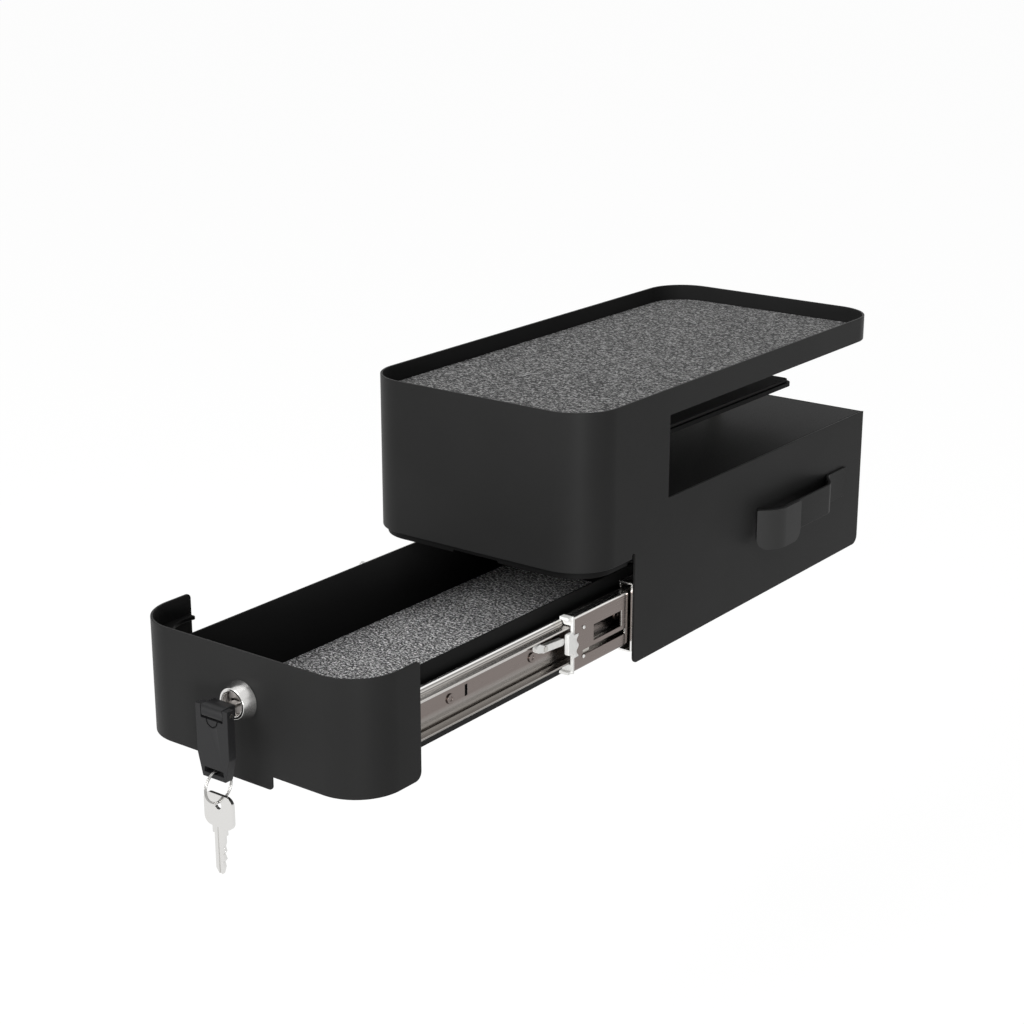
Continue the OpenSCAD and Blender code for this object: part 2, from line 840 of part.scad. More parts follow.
module lock_plug() {
    color("#b4b4b2") at_lock() difference() {
        union() {
            rod_y(plug_face, barrel_l, plug_d, plug_d);
            rod_y(barrel_l, barrel_l + cam_t, cam_boss_d, cam_boss_d);
        }
        block([-keyway_w / 2, plug_face - over, -keyway_h / 2],
            [keyway_w / 2, plug_face + keyway_depth, keyway_h / 2]);
    }
}

// Flat cam, lying sideways while the lock is open
module lock_cam() {
    color("#a8a6a2") at_lock() difference() {
        along_y(barrel_l + run_gap, barrel_l + cam_t) {
            circle(d = cam_eye_d);
            translate([-cam_reach + cam_w / 2, -cam_w / 2]) square([cam_reach - cam_w / 2, cam_w]);
            translate([-cam_reach + cam_w / 2, 0]) circle(d = cam_w);
        }
        rod_y(barrel_l - over, barrel_l + cam_t + over, cam_boss_d, cam_boss_d);
    }
}

module cam_screw() {
    y0 = barrel_l + cam_t;
    color("#8f8d89") at_lock() difference() {
        rod_y(y0, y0 + cam_screw_h, cam_screw_d, cam_screw_d - driver_w);
        block([-cam_screw_d, y0 + cam_screw_h - driver_w, -driver_w / 2],
            [cam_screw_d, y0 + cam_screw_h + over, driver_w / 2]);
    }
}

// Keys

module key_blade() {
    color("#c9c9c7") at_lock() difference() {
        block([-blade_w / 2, neck_back - blade_root, -blade_t / 2], [blade_w / 2, blade_tip, blade_t / 2]);
        for (side = [-1, 1]) translate([side * blade_w / 2, blade_tip, 0]) rotate([0, 0, 45])
            cube([blade_chamfer * sqrt(2), blade_chamfer * sqrt(2), blade_t + over], center = true);
        block([-blade_w / 2, plug_face, blade_t / 4], [-blade_w / 6, blade_tip + over, blade_t]);
    }
}

// Block between the key head's ears, rounded about the hinge
module key_bow() {
    w = notch_w - 2 * block_gap;
    color("#232324") seat() moved(drawer_out) difference() {
        union() {
            translate([0, pin_y, pin_z]) rod_x(-w / 2, w / 2, 2 * hub_r);
            block([-w / 2, pin_y, pin_z - hub_r], [w / 2, neck_back, pin_z + hub_r]);
        }
        translate([0, pin_y, pin_z]) rod_x(-w, w, pin_d);
        block([-blade_w / 2, neck_back - blade_root, lock_z - blade_t / 2],
            [blade_w / 2, neck_back + over, lock_z + blade_t / 2]);
    }
}

module key_pin() {
    color("#8f8d89") seat() moved(drawer_out) translate([0, pin_y, pin_z])
        rod_x(-head_w / 2 + pin_end, head_w / 2 - pin_end, pin_d);
}

// Folding key head: it hangs from the pin and folds out in line with the blade
module key_head() {
    z0 = head_low;
    y1 = head_front + head_t;
    color("#232324") seat() moved(drawer_out) difference() {
        along_y(head_front, y1) difference() {
            polygon([[-head_low_w / 2, z0], [head_low_w / 2, z0], [head_w / 2, z0 + head_taper_h],
                [head_w / 2, head_top], [-head_w / 2, head_top], [-head_w / 2, z0 + head_taper_h]]);
            translate([-notch_w / 2, notch_low]) square([notch_w, head_top - notch_low + over]);
            translate([-eye_w / 2, z0 + eye_bar]) square([eye_w, eye_h]);
        }
        translate([0, 0, notch_low])
            rod_y(head_front - over, head_front + crescent_depth, 2 * crescent_r, 2 * crescent_r);
        translate([0, pin_y, pin_z]) rod_x(-head_w / 2 - over, head_w / 2 + over, pin_d + 2 * run_gap);
    }
}

// Split ring through the head's eye
module key_ring() {
    color("#d9d9d7") seat() moved(drawer_out) translate([0, ring_y, ring_z])
        rotate([0, 0, ring_turn]) rotate([0, 90, 0])
            rotate_extrude() translate([ring_r, 0]) circle(d = wire_d);
}

// Flat steel spare key that hangs on the ring
module spare_key() {
    top = spare_hole_drop;
    low = top - spare_l;
    shoulder = top - spare_bow_h;
    b = spare_blade_w / 2;
    blade_h = shoulder - spare_neck_h - low;
    n = last(bitting_x_shares);
    color("#c9c9c7") seat() moved(drawer_out) translate([0, ring_y, spare_z]) difference() {
        along_y(-spare_t / 2, spare_t / 2) {
            round_rect(-bow_w / 2, bow_w / 2, shoulder, top, spare_bow_r);
            translate([-spare_neck_w / 2, shoulder - spare_neck_h]) square([spare_neck_w, spare_neck_h + over]);
            polygon(concat([[-b, shoulder - spare_neck_h], [-b, low + blade_h / 8]],
                [for (i = [0 : n]) [b * bitting_x_shares[i], low + blade_h * bitting_z_shares[i]]],
                [[b, shoulder - spare_neck_h]]));
        }
        rod_y(-spare_t, spare_t, spare_hole_d, spare_hole_d);
        block([-b / 3, -spare_t, low - over], [b / 6, -spare_t / 4, shoulder]);
    }
}

// Hook

// Smooth step from 0 to 1, and its slope
function ease(t) = t <= 0 ? 0 : t >= 1 ? 1 : t * t * (3 - 2 * t);
function ease_slope(t) = t <= 0 || t >= 1 ? 0 : 6 * t * (1 - t);

// Rise from 0 to 1 that sets off steeply and levels out, and its slope
function curl(t) = t >= 1 ? 1 : t * (2 - t);
function curl_slope(t) = t >= 1 ? 0 : 2 * (1 - t);

// Distance of the arm's inner face from the panel at a depth y, and its slope
curl_rise = hook_gap - hook_tip_gap;
function arm_off(y) = y < joggle_y ? hook_tip_gap + curl_rise * curl((y - hook_y) / hook_curl)
    : hook_gap * (1 - ease((y - joggle_y) / hook_joggle));
function arm_slope(y) = y < joggle_y ? curl_rise / hook_curl * curl_slope((y - hook_y) / hook_curl)
    : -hook_gap / hook_joggle * ease_slope((y - joggle_y) / hook_joggle);

// Point of the arm in plan, set out by t from its inner face
function arm_point(y, t) = let (a = atan(arm_slope(y))) [half_w + arm_off(y) + t * cos(a), y - t * sin(a)];
curl_ys = [for (i = [0 : hook_steps]) hook_y + hook_curl * i / hook_steps];
joggle_ys = [for (i = [0 : hook_steps]) joggle_y + hook_joggle * i / hook_steps];
module arm_plan(ys, t0, t1) {
    polygon(concat([for (y = ys) arm_point(y, t0)], [for (i = [last(ys) : -1 : 0]) arm_point(ys[i], t1)]));
}

module hook_strap() {
    color("#2b2b2c") seat() translate([0, 0, hook_z - hook_h]) linear_extrude(hook_h)
        arm_plan(concat(curl_ys, joggle_ys, [hook_y + hook_l]), 0, hook_t);
}

// Soft cover over the arm's outer face and free end
module hook_cover() {
    y1 = hook_y + cover_l;
    z0 = hook_z - cover_h;
    color("#383838") seat() intersection() {
        translate([0, 0, z0]) linear_extrude(cover_h)
            arm_plan(concat(curl_ys, [y1]), hook_t, hook_t + cover_t);
        along_x(half_w, half_w + 2 * (hook_gap + hook_t + cover_t)) difference() {
            translate([cover_front, z0]) square([y1 - cover_front, cover_h]);
            corner_cut(cover_front, z0, 1, 1, cover_r);
            corner_cut(y1, z0, -1, 1, cover_r);
            corner_cut(y1, hook_z, -1, -1, cover_top_r);
        }
    }
}

// Clamp

module clamp_plate() {
    color("#252526") seat() difference() {
        translate([0, 0, clamp_low]) linear_extrude(clamp_plate_t)
            round_rect(-clamp_w / 2, clamp_w / 2, clamp_y, clamp_y + clamp_d, clamp_r);
        for (y = screw_ys) translate([0, y, clamp_low - over])
            cylinder(h = over + pivot_tip_h + screw_gap, d = pivot_tip_d + 2 * screw_gap);
    }
}

module clamp_pad() {
    w = clamp_w / 2 - clamp_pad_in;
    color("#1c1c1c") seat() translate([0, 0, clamp_low + clamp_plate_t]) linear_extrude(clamp_pad_t)
        round_rect(-w, w, clamp_y + clamp_pad_in, clamp_y + clamp_d - clamp_pad_in, clamp_r - clamp_pad_in);
}

module clamp_screw(i) {
    z1 = clamp_low - screw_gap;
    color("#a8a6a2") seat() translate([0, screw_ys[i], 0]) difference() {
        union() {
            translate([0, 0, z1 - screw_l]) cylinder(h = screw_l, d = screw_d);
            translate([0, 0, z1]) cylinder(h = pivot_tip_h, d = pivot_tip_d);
        }
        translate([0, 0, z1 - screw_l - over]) cylinder(h = over + hex_depth, d = hex_key, $fn = 6);
    }
}

module clamp_nuts() {
    color("#a8a6a2") seat() for (y = screw_ys)
        translate([0, y, cell_h - sheet_t - clamp_nut_t]) difference() {
            cylinder(h = clamp_nut_t, d = clamp_nut_d, $fn = 6);
            translate([0, 0, -over]) cylinder(h = clamp_nut_t + 2 * over, d = screw_d + 2 * screw_gap);
        }
}

housing_shell();
slot_liner();
tray_floor();
tray_mat();
desk_pads();
ceiling_pan();
back_panel();
slide_outer(-1);  // slide_outer_left
slide_outer(1);  // slide_outer_right
slide_screws();
hook_strap();
hook_cover();
clamp_nuts();
clamp_plate();
clamp_pad();
clamp_screw(0);  // clamp_screw_front
clamp_screw(1);  // clamp_screw_rear
slide_middle(-1);  // slide_middle_left
slide_middle(1);  // slide_middle_right
slide_stop(-1);  // slide_stop_left
slide_stop(1);  // slide_stop_right
ball_cage_outer(-1);  // ball_cage_outer_left
ball_cage_outer(1);  // ball_cage_outer_right
outer_balls();
ball_cage_inner(-1);  // ball_cage_inner_left
ball_cage_inner(1);  // ball_cage_inner_right
inner_balls();
drawer_front();
drawer_box();
drawer_mat();
corner_plate(-1);  // corner_plate_left
corner_plate(1);  // corner_plate_right
slide_inner(-1);  // slide_inner_left
slide_inner(1);  // slide_inner_right
drawer_screws();
lever_rivets();
release_lever(-1);  // release_lever_left
release_lever(1);  // release_lever_right
lock_body();
lock_nut();
lock_plug();
lock_cam();
cam_screw();
key_blade();
key_bow();
key_pin();
key_head();
key_ring();
spare_key();
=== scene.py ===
"""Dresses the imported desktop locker: finer pieces, finishes, floor, light and camera."""

import json
import math

import bmesh
import bpy
import numpy as np
from bpy.props import FloatProperty, FloatVectorProperty, IntProperty, PointerProperty
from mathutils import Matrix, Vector


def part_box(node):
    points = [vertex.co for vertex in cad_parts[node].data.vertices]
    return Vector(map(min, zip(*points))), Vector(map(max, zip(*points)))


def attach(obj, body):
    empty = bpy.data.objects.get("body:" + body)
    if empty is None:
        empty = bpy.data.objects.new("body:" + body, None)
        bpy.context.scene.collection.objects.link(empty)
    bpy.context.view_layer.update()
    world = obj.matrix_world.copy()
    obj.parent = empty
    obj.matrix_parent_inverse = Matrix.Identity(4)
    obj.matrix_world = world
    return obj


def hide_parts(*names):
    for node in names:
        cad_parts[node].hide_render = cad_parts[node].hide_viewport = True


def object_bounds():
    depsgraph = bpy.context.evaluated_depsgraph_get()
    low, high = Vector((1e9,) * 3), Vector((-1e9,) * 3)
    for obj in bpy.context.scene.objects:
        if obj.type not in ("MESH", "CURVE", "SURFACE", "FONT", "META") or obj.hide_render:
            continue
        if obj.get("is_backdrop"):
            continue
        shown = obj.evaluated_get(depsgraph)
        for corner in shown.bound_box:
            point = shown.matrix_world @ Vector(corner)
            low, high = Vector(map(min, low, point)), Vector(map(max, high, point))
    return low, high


bl_info = {
    "name": "Desktop locker",
    "version": (1, 0, 0),
    "blender": (4, 5, 0),
    "location": "3D View > Sidebar > Locker",
    "description": "Builds the finishes and finer pieces of a desktop locker",
    "category": "Add Mesh",
}

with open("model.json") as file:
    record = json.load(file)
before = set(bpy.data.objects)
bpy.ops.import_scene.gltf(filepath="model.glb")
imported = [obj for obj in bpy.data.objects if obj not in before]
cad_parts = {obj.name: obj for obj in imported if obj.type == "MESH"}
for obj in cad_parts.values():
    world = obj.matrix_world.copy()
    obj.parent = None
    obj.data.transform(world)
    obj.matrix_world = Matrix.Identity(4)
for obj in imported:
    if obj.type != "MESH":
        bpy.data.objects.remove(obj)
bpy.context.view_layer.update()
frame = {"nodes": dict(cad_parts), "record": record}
MM = 0.001
# Two points closer than SAME are one point, and a length below NIL is none
SAME = 1e-7
NIL = 1e-9

# Where the CAD has put the locker: its frame's origin lies on the face that rests on the desk
SHELL_LOW, SHELL_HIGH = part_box("housing_shell")
FLOOR_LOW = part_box("tray_floor")[0]
FRONT_LOW, FRONT_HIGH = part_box("drawer_front")
LOCK_LOW, LOCK_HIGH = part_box("lock_body")
LOCK_Z = (LOCK_LOW.z + LOCK_HIGH.z) / 2
NODE_BODY = {n: b for b, names in frame["record"]["behaviour"]["bodies"].items() for n in names}
NODE_SLOT = {p["node"]: p["material_slot"] for p in frame["record"]["subparts"]}


def pair(name):
    """The left and the right node of a name."""
    return [name + "_left", name + "_right"]


def linear(hex_colour):
    """Turns an sRGB hex colour such as "2b2b2b" to linear red, green, blue and alpha."""
    c = np.array([int(hex_colour[i : i + 2], 16) for i in (0, 2, 4)]) / 255
    c = np.where(c <= 0.04045, c / 12.92, ((c + 0.055) / 1.055) ** 2.4)
    return (*c.tolist(), 1.0)


def millimetres(description, value):
    """Property that holds a length, given in millimetres."""
    return FloatProperty(description=description, default=value * MM, unit="LENGTH")


def srgb(description, value):
    """Property that holds a colour, given as an sRGB hex value."""
    return FloatVectorProperty(description=description, subtype="COLOR", size=4, default=linear(value),
                               min=0, max=1)


class LockerSizes(bpy.types.PropertyGroup):
    """Sizes that the finer pieces are made to, besides those read from the CAD."""

    sheet: millimetres("Thickness of the sheet steel", 1.5)
    corner: millimetres("Outer radius of the upright corners", 29)
    edge: millimetres("Radius that the coating leaves on cut edges", 0.4)
    bend_steps: IntProperty(description="Facets round an upright corner", default=28, min=8, max=64)
    slot_rise: millimetres("From the slot's top to the tray's floor sheet", 2.4)
    apron: millimetres("Height of the apron's lower edge above the cell's", 68.8)
    cell: millimetres("Height of the side panels behind the slot's mouth", 97.9)
    cell_depth: millimetres("From the front to the side panels' back edge", 338.5)
    panel_front: millimetres("From the front to the side panels' front edge", 50.1)
    wrap: millimetres("From the front to the end of the wrapped ends", 46.9)
    slot_front: millimetres("From the front to the slot's closed end", 85.9)
    panel_radius: millimetres("Radius of the panels' lower front corners", 4)
    panel_back_radius: millimetres("Radius of the panels' lower back corners", 6)
    front_height: millimetres("Height of the drawer's front panel", 68.5)
    ear_low: millimetres("Radius of the wrapped ends' lower corners", 5)
    ear_top: millimetres("Radius of the wrapped ends' upper corners", 3)
    tab_width: millimetres("Width of the finger tab", 40)
    tab_radius: millimetres("Radius of the finger tab's corners", 2.5)
    lock_hole: millimetres("Diameter of the lock's hole in the front", 19.2)
    bezel_out: millimetres("How far the lock's bezel stands out", 8)
    bezel_base: millimetres("Diameter of the bezel at the panel", 22.6)
    bezel_face: millimetres("Diameter of the bezel's face", 17.9)
    barrel: millimetres("Diameter of the lock's threaded barrel", 19)
    plug: millimetres("Diameter of the lock's plug", 13)
    thread: millimetres("Pitch of the barrel's thread", 1)
    hook_front: millimetres("From the front to the hook's free end", 192)
    hook_length: millimetres("From the free end to the end of the foot", 123)
    hook_gap: millimetres("From the side panel to the hook's arm", 11.2)
    hook_tip_gap: millimetres("From the side panel to the hook's free end", 1)
    hook_curl: millimetres("Length of the free end's curl", 16)
    hook_joggle: millimetres("Length of the bend that brings the strip to the panel", 22)
    hook_foot: millimetres("Length of the welded foot", 25)
    hook_strip: millimetres("Thickness of the hook's strip", 1.8)
    cover_length: millimetres("Length of the soft cover", 35)
    cover_wall: millimetres("Thickness of the soft cover", 2)
    cover_radius: millimetres("Radius of the cover's lower corners", 8)
    ring_turn: FloatProperty(description="Turn of the key ring about the upright",
                             default=math.radians(-2.5), subtype="ANGLE", unit="ROTATION")
    felt_grain: millimetres("Size of the felt's flecks, drawn coarse enough to show", 1.5)
    powder_grain: millimetres("Spacing of the powder coat's fine texture", 0.7)


class LockerColours(bpy.types.PropertyGroup):
    """Colours of the finishes."""

    powder: srgb("Black powder coat", "262626")
    # The inside's colour is the same powder coat painted darker: painted shade inside the housing and the
    # drawer
    inner: srgb("Black powder coat inside", "121212")
    felt_dark: srgb("Charcoal fibres", "131314")
    felt_mid: srgb("Grey fibres", "404041")
    felt_light: srgb("Undyed fibres", "c0c0bf")
    zinc_web: srgb("Dull passivated web of the slides", "7a716d")
    # Painted highlight that the slides' bends and flanges get
    zinc_bright: srgb("Painted highlight on the slides' bends", "e8e6e3")
    nickel: srgb("Bright nickel of the lock and keys", "dad9d7")
    pale_plastic: srgb("Light grey acetal", "ececea")
    key_plastic: srgb("Black key head", "1f1f20")
    cover_plastic: srgb("Soft cover on the hook", "2d2d2d")


# Surfaces


def places(*parts, digits=9):
    """Places along a line, sorted and each once."""
    return np.unique(np.round(np.hstack([np.ravel(part) for part in parts]), digits))


def run(a, b, stops=()):
    """Straight stretch of a path: the points a + t (b - a), at the ends and at the given lengths from a."""
    a, b = np.asarray(a, float), np.asarray(b, float)
    t = places(0.0, np.asarray(stops, float) / np.linalg.norm(b - a), 1.0)
    return a + t[:, None] * (b - a)


def bend(centre, radius, start, end, steps):
    """Round stretch of a path: centre + radius (cos t, sin t), with t from start to end in degrees."""
    t = np.radians(np.linspace(start, end, steps + 1))
    return np.asarray(centre, float) + radius * np.c_[np.cos(t), np.sin(t)]


def chain(*stretches):
    """Puts stretches end to end and leaves out the points that they share."""
    p = np.vstack(stretches)
    return p[np.r_[True, np.linalg.norm(np.diff(p, axis=0), axis=1) > SAME]]


def flat_outline(half_x, y0, y1, r, steps):
    """Rectangle with round corners, anticlockwise, in x and y."""
    return chain(
        bend((half_x - r, y0 + r), r, -90, 0, steps),
        bend((half_x - r, y1 - r), r, 0, 90, steps),
        bend((r - half_x, y1 - r), r, 90, 180, steps),
        bend((r - half_x, y0 + r), r, 180, 270, steps),
    )


def rounded(a, b, movable, side, centre, radius):
    """Rounds a corner of the flat sheet: its square block moves on to a disc.

    An offset d from the disc's centre becomes d max(|dx|, |dy|) / |d|. The block lies on the side of the
    centre that two signs give, where 0 stands for both sides, and only movable points move."""
    da, db = a - centre[0], b - centre[1]
    far = np.maximum(abs(da), abs(db))
    block = (side[0] * da >= -NIL) & (side[1] * db >= -NIL) & (far <= radius + SAME) & (far > NIL)
    scale = np.where(movable & block, far / np.maximum(np.hypot(da, db), NIL), 1.0)
    return centre[0] + da * scale, centre[1] + db * scale


def link(name, data):
    """Puts a new object that holds the data in the scene."""
    o = bpy.data.objects.new(name, data)
    bpy.context.scene.collection.objects.link(o)
    return o


def piece(name, co, faces, body, slot, material, nodes=()):
    """Makes a mesh object from points in metres, gives it its finish and joins it to its body."""
    mesh = bpy.data.meshes.new(name)
    used, index = np.unique(np.concatenate([np.ravel(f) for f in faces]), return_inverse=True)
    lists, first = [], 0
    for f in faces:
        lists += index[first : first + f.size].reshape(f.shape).tolist()
        first += f.size
    mesh.from_pydata(np.asarray(co, float)[used], [], lists)
    mesh.validate()
    mesh.update()
    mesh.shade_smooth()
    o = link(name, mesh)
    o.data.materials.append(material)
    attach(o, body)
    if nodes:
        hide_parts(*nodes)
    return o


def outward(co, faces):
    """Turns a closed surface's faces to point outwards.

    The sum of a . (b x c) over its triangles is then positive."""
    total = 0.0
    for f in faces:
        for k in range(1, f.shape[1] - 1):
            total += np.einsum("ij,ij->", co[f[:, 0]], np.cross(co[f[:, k]], co[f[:, k + 1]]))
    return faces if total > 0 else [f[:, ::-1] for f in faces]


def ease(o, width, steps, angle):
    """Rounds the edges at which a piece turns by more than an angle in degrees."""
    edges = o.modifiers.new("Edges", "BEVEL")
    edges.width = width
    edges.segments = steps
    edges.limit_method = "ANGLE"
    edges.angle_limit = math.radians(angle)
    edges.harden_normals = True


def thicken(o, thickness, edge, steps=3):
    """Gives a folded sheet its thickness, inwards from its outer face, and rounds its cut edges."""
    wall = o.modifiers.new("Sheet", "SOLIDIFY")
    wall.thickness = thickness
    wall.offset = -1
    wall.use_even_offset = True
    ease(o, edge, steps, 40)


def grid_faces(columns, rows, keep, closed):
    """Quads of a grid whose points are numbered column by column, where keep says which cells hold sheet."""
    i, j = np.nonzero(keep)
    k = (i + 1) % columns if closed else i + 1
    return np.c_[i * rows + j, k * rows + j, k * rows + j + 1, i * rows + j + 1]


def loft(name, rings, body, slot, material, nodes=(), closed=False):
    """Skin over rings of points, each ring closed.

    The ends get a flat face each, or where the skin is closed the last ring meets the first."""
    rings = np.asarray(rings, float)
    count, size = rings.shape[:2]
    i, j = np.meshgrid(np.arange(count if closed else count - 1), np.arange(size), indexing="ij")
    i, j = i.ravel(), j.ravel()
    k, m = (i + 1) % count, (j + 1) % size
    faces = [np.c_[i * size + j, i * size + m, k * size + m, k * size + j]]
    co = rings.reshape(-1, 3)
    if not closed:
        faces += [np.arange(size)[None, ::-1], (count - 1) * size + np.arange(size)[None]]
    o = piece(name, co, outward(co, faces), body, slot, material, nodes)
    o.modifiers.new("Flats", "WEIGHTED_NORMAL")
    return o


def prism(name, outline, axis, low, high, edge, body, slot, material, nodes=()):
    """Bar with round edges: an outline carried along an axis.

    At the angle t of a quarter circle it lies edge (1 - sin t) inside itself, along its own normals, and
    edge (1 - cos t) from the bar's end."""
    side = np.roll(outline, -1, 0) - np.roll(outline, 1, 0)
    normal = np.c_[side[:, 1], -side[:, 0]] / np.linalg.norm(side, axis=1, keepdims=True)
    x, y = outline[:, 0], outline[:, 1]
    normal *= np.sign(np.dot(x, np.roll(y, -1)) - np.dot(y, np.roll(x, -1)))
    t = np.linspace(0, math.pi / 2, 4)
    inset = edge * (1 - np.sin(np.r_[t, t[::-1]]))
    place = np.r_[low + edge * (1 - np.cos(t)), high - edge * (1 - np.cos(t[::-1]))]
    flat = outline[None] - normal[None] * inset[:, None, None]
    rings = np.insert(flat, axis, place[:, None], axis=2)
    return loft(name, rings, body, slot, material, nodes)


def turned(name, profile, centre, body, slot, material, nodes=(), steps=96):
    """Turned piece: a closed profile of radius r and depth d goes round an axis along y.

    A point of it lies at (r cos t, d, r sin t) from the centre."""
    t = np.linspace(0, 2 * math.pi, steps, endpoint=False)[:, None]
    r, d = np.asarray(profile, float).T
    rings = np.stack([r * np.cos(t), d + 0 * t, r * np.sin(t)], -1) + np.asarray(centre, float)
    return loft(name, rings, body, slot, material, nodes, closed=True)


def strip(name, path, low, high, corners, body, slot, material, nodes=()):
    """Flat strip bent along a path in plan.

    The point u along the strip and v up it lies at the path's point u, at height v. The corners are rounded
    on the flat strip before it is bent. Each has a sign for the strip's end or start, a sign for its top or
    bottom, and a radius."""
    along = np.r_[0, np.cumsum(np.linalg.norm(np.diff(path, axis=0), axis=1))]
    end = along[-1]
    us, vs = [along], [low, high]
    for su, sv, r in corners:
        us.append(np.linspace(end - r, end, 9) if su > 0 else np.linspace(0, r, 9))
        vs.append(np.linspace(high - r, high, 9) if sv > 0 else np.linspace(low, low + r, 9))
    us, vs = places(*us, digits=8), places(*vs, digits=8)
    u, v = np.meshgrid(us, vs, indexing="ij")
    for su, sv, r in corners:
        centre = (end - r if su > 0 else r, high - r if sv > 0 else low + r)
        u, v = rounded(u, v, True, (su, sv), centre, r)
    co = np.stack([np.interp(u, along, path[:, 0]), np.interp(u, along, path[:, 1]), v], -1).reshape(-1, 3)
    keep = np.ones((len(us) - 1, len(vs) - 1), bool)
    return piece(name, co, [grid_faces(len(us), len(vs), keep, False)], body, slot, material, nodes)


def eased(node, edge, ends=None, steps=2, join=True):
    """Copy of a CAD piece with its flat faces joined and its edges rounded.

    Its cut ends, whose faces look along y, can have a finish of their own, which paints a highlight on them."""
    source = frame["nodes"][node]
    sharp = 30
    bm = bmesh.new()
    bm.from_mesh(source.data)
    bmesh.ops.remove_doubles(bm, verts=bm.verts, dist=1e-6)
    if join:
        bmesh.ops.dissolve_limit(bm, angle_limit=math.radians(1), verts=bm.verts, edges=bm.edges)
    mesh = bpy.data.meshes.new(node + "_eased")
    bm.to_mesh(mesh)
    bm.free()
    mesh.materials.clear()
    mesh.materials.append(source.data.materials[0])
    if ends:
        mesh.materials.append(ends)
        normals = np.empty(len(mesh.polygons) * 3)
        mesh.polygons.foreach_get("normal", normals)
        cut = abs(normals.reshape(-1, 3)[:, 1]) > 0.95
        mesh.polygons.foreach_set("material_index", cut.astype(np.int32))
    mesh.shade_smooth()
    mesh.set_sharp_from_angle(angle=math.radians(sharp))
    o = link(node + "_eased", mesh)
    ease(o, edge, steps, sharp)
    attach(o, NODE_BODY[node])
    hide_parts(node)
    return o


def move(o, change):
    """Moves the points of a copy: change takes their places and returns the new ones."""
    co = np.empty(len(o.data.vertices) * 3)
    o.data.vertices.foreach_get("co", co)
    o.data.vertices.foreach_set("co", change(co.reshape(-1, 3)).ravel())
    o.data.update()


# Finishes


def add(tree, kind, inputs=None, links=None, **settings):
    """Adds a node with its settings, the values of its inputs and the sockets that feed them."""
    n = tree.nodes.new(kind)
    for name, value in settings.items():
        setattr(n, name, value)
    for name, value in (inputs or {}).items():
        n.inputs[name].default_value = value
    for name, socket in (links or {}).items():
        tree.links.new(socket, n.inputs[name])
    return n


def bare_tree(owner):
    """Node tree of a material or a world, without its first nodes."""
    owner.use_nodes = True
    owner.node_tree.nodes.clear()
    return owner.node_tree


def shade(colour, share):
    """Colour made lighter or darker: its linear red, green and blue times share, and at most 1."""
    return [min(1, share * c) for c in colour[:3]]


def new_material(name, values):
    """New material of one surface shader, whose sockets get the given values, and its object coordinates."""
    m = bpy.data.materials.new(name)
    tree = bare_tree(m)
    out = add(tree, "ShaderNodeOutputMaterial")
    shader = add(tree, "ShaderNodeBsdfPrincipled", values)
    tree.links.new(shader.outputs[0], out.inputs[0])
    return m, tree, shader, add(tree, "ShaderNodeTexCoord").outputs["Object"]


def dress(tree, shader, pattern, tones, rough=None, bump=None, tone_from=None):
    """Lets a pattern vary a surface's colour, roughness and height.

    The colour follows tones, pairs of place and colour on a ramp, by the pattern or by tone_from. The
    roughness goes from one value to the other where the pattern goes from 0.3 to 0.7, which holds most of a
    noise. The bump is a strength and a height in metres."""
    tint = add(tree, "ShaderNodeValToRGB", links={"Fac": pattern if tone_from is None else tone_from})
    stops = tint.color_ramp.elements
    while len(stops) < len(tones):
        stops.new(1.0)
    for stop, (place, colour) in zip(stops, tones):
        stop.position = place
        stop.color = (*colour[:3], 1)
    tree.links.new(tint.outputs[0], shader.inputs["Base Color"])
    if rough:
        span = {"From Min": 0.3, "From Max": 0.7, "To Min": rough[0], "To Max": rough[1]}
        gloss = add(tree, "ShaderNodeMapRange", span, {"Value": pattern})
        tree.links.new(gloss.outputs[0], shader.inputs["Roughness"])
    if bump:
        relief = add(tree, "ShaderNodeBump", {"Strength": bump[0], "Distance": bump[1]}, {"Height": pattern})
        tree.links.new(relief.outputs[0], shader.inputs["Normal"])


def powder_coat(name, colour, grain, rough=0.42):
    """Polyester powder coat on steel, sprayed dry and baked: a fine even texture that breaks up the gloss."""
    m, tree, shader, place = new_material(name, {"Specular IOR Level": 0.06})
    # The colour drifts a little from patch to patch
    patch = 90 * MM
    texture = {"Scale": 1 / grain, "Detail": 2.0, "Roughness": 0.6}
    fine = add(tree, "ShaderNodeTexNoise", texture, {"Vector": place})
    broad = add(tree, "ShaderNodeTexNoise", {"Scale": 1 / patch, "Detail": 2.0}, {"Vector": place})
    dress(tree, shader, fine.outputs[0], [(0.35, shade(colour, 0.92)), (0.65, shade(colour, 1.08))],
          (rough - 0.05, rough + 0.07), (0.12, 0.05 * MM), broad.outputs[0])
    return m


def needle_felt(name, colours, grain):
    """Needle-punched felt of dyed and undyed fibres: salt-and-pepper flecks and a matted pile."""
    surface = {"Roughness": 0.95, "Specular IOR Level": 0.1, "Sheen Weight": 0.15}
    m, tree, shader, place = new_material(name, surface)
    dark, mid, light = colours
    flecks = {"Scale": 1 / grain, "Detail": 3.0, "Roughness": 0.75}
    fleck = add(tree, "ShaderNodeTexNoise", flecks, {"Vector": place})
    turn = {"Scale": (1.0, 2.6, 1.0), "Rotation": (0, 0, 0.6)}
    lie = add(tree, "ShaderNodeMapping", turn, {"Vector": place})
    fibres = {"Scale": 0.55 / grain, "Detail": 2.0, "Distortion": 1.2}
    fibre = add(tree, "ShaderNodeTexNoise", fibres, {"Vector": lie.outputs[0]})
    mixed = {2: fleck.outputs[0], 3: fibre.outputs[0]}
    both = add(tree, "ShaderNodeMix", {0: 0.35}, mixed, data_type="FLOAT")
    tones = [(0.41, dark), (0.5, mid), (0.585, light)]
    dress(tree, shader, both.outputs[0], tones, bump=(0.7, 0.5 * MM))
    return m


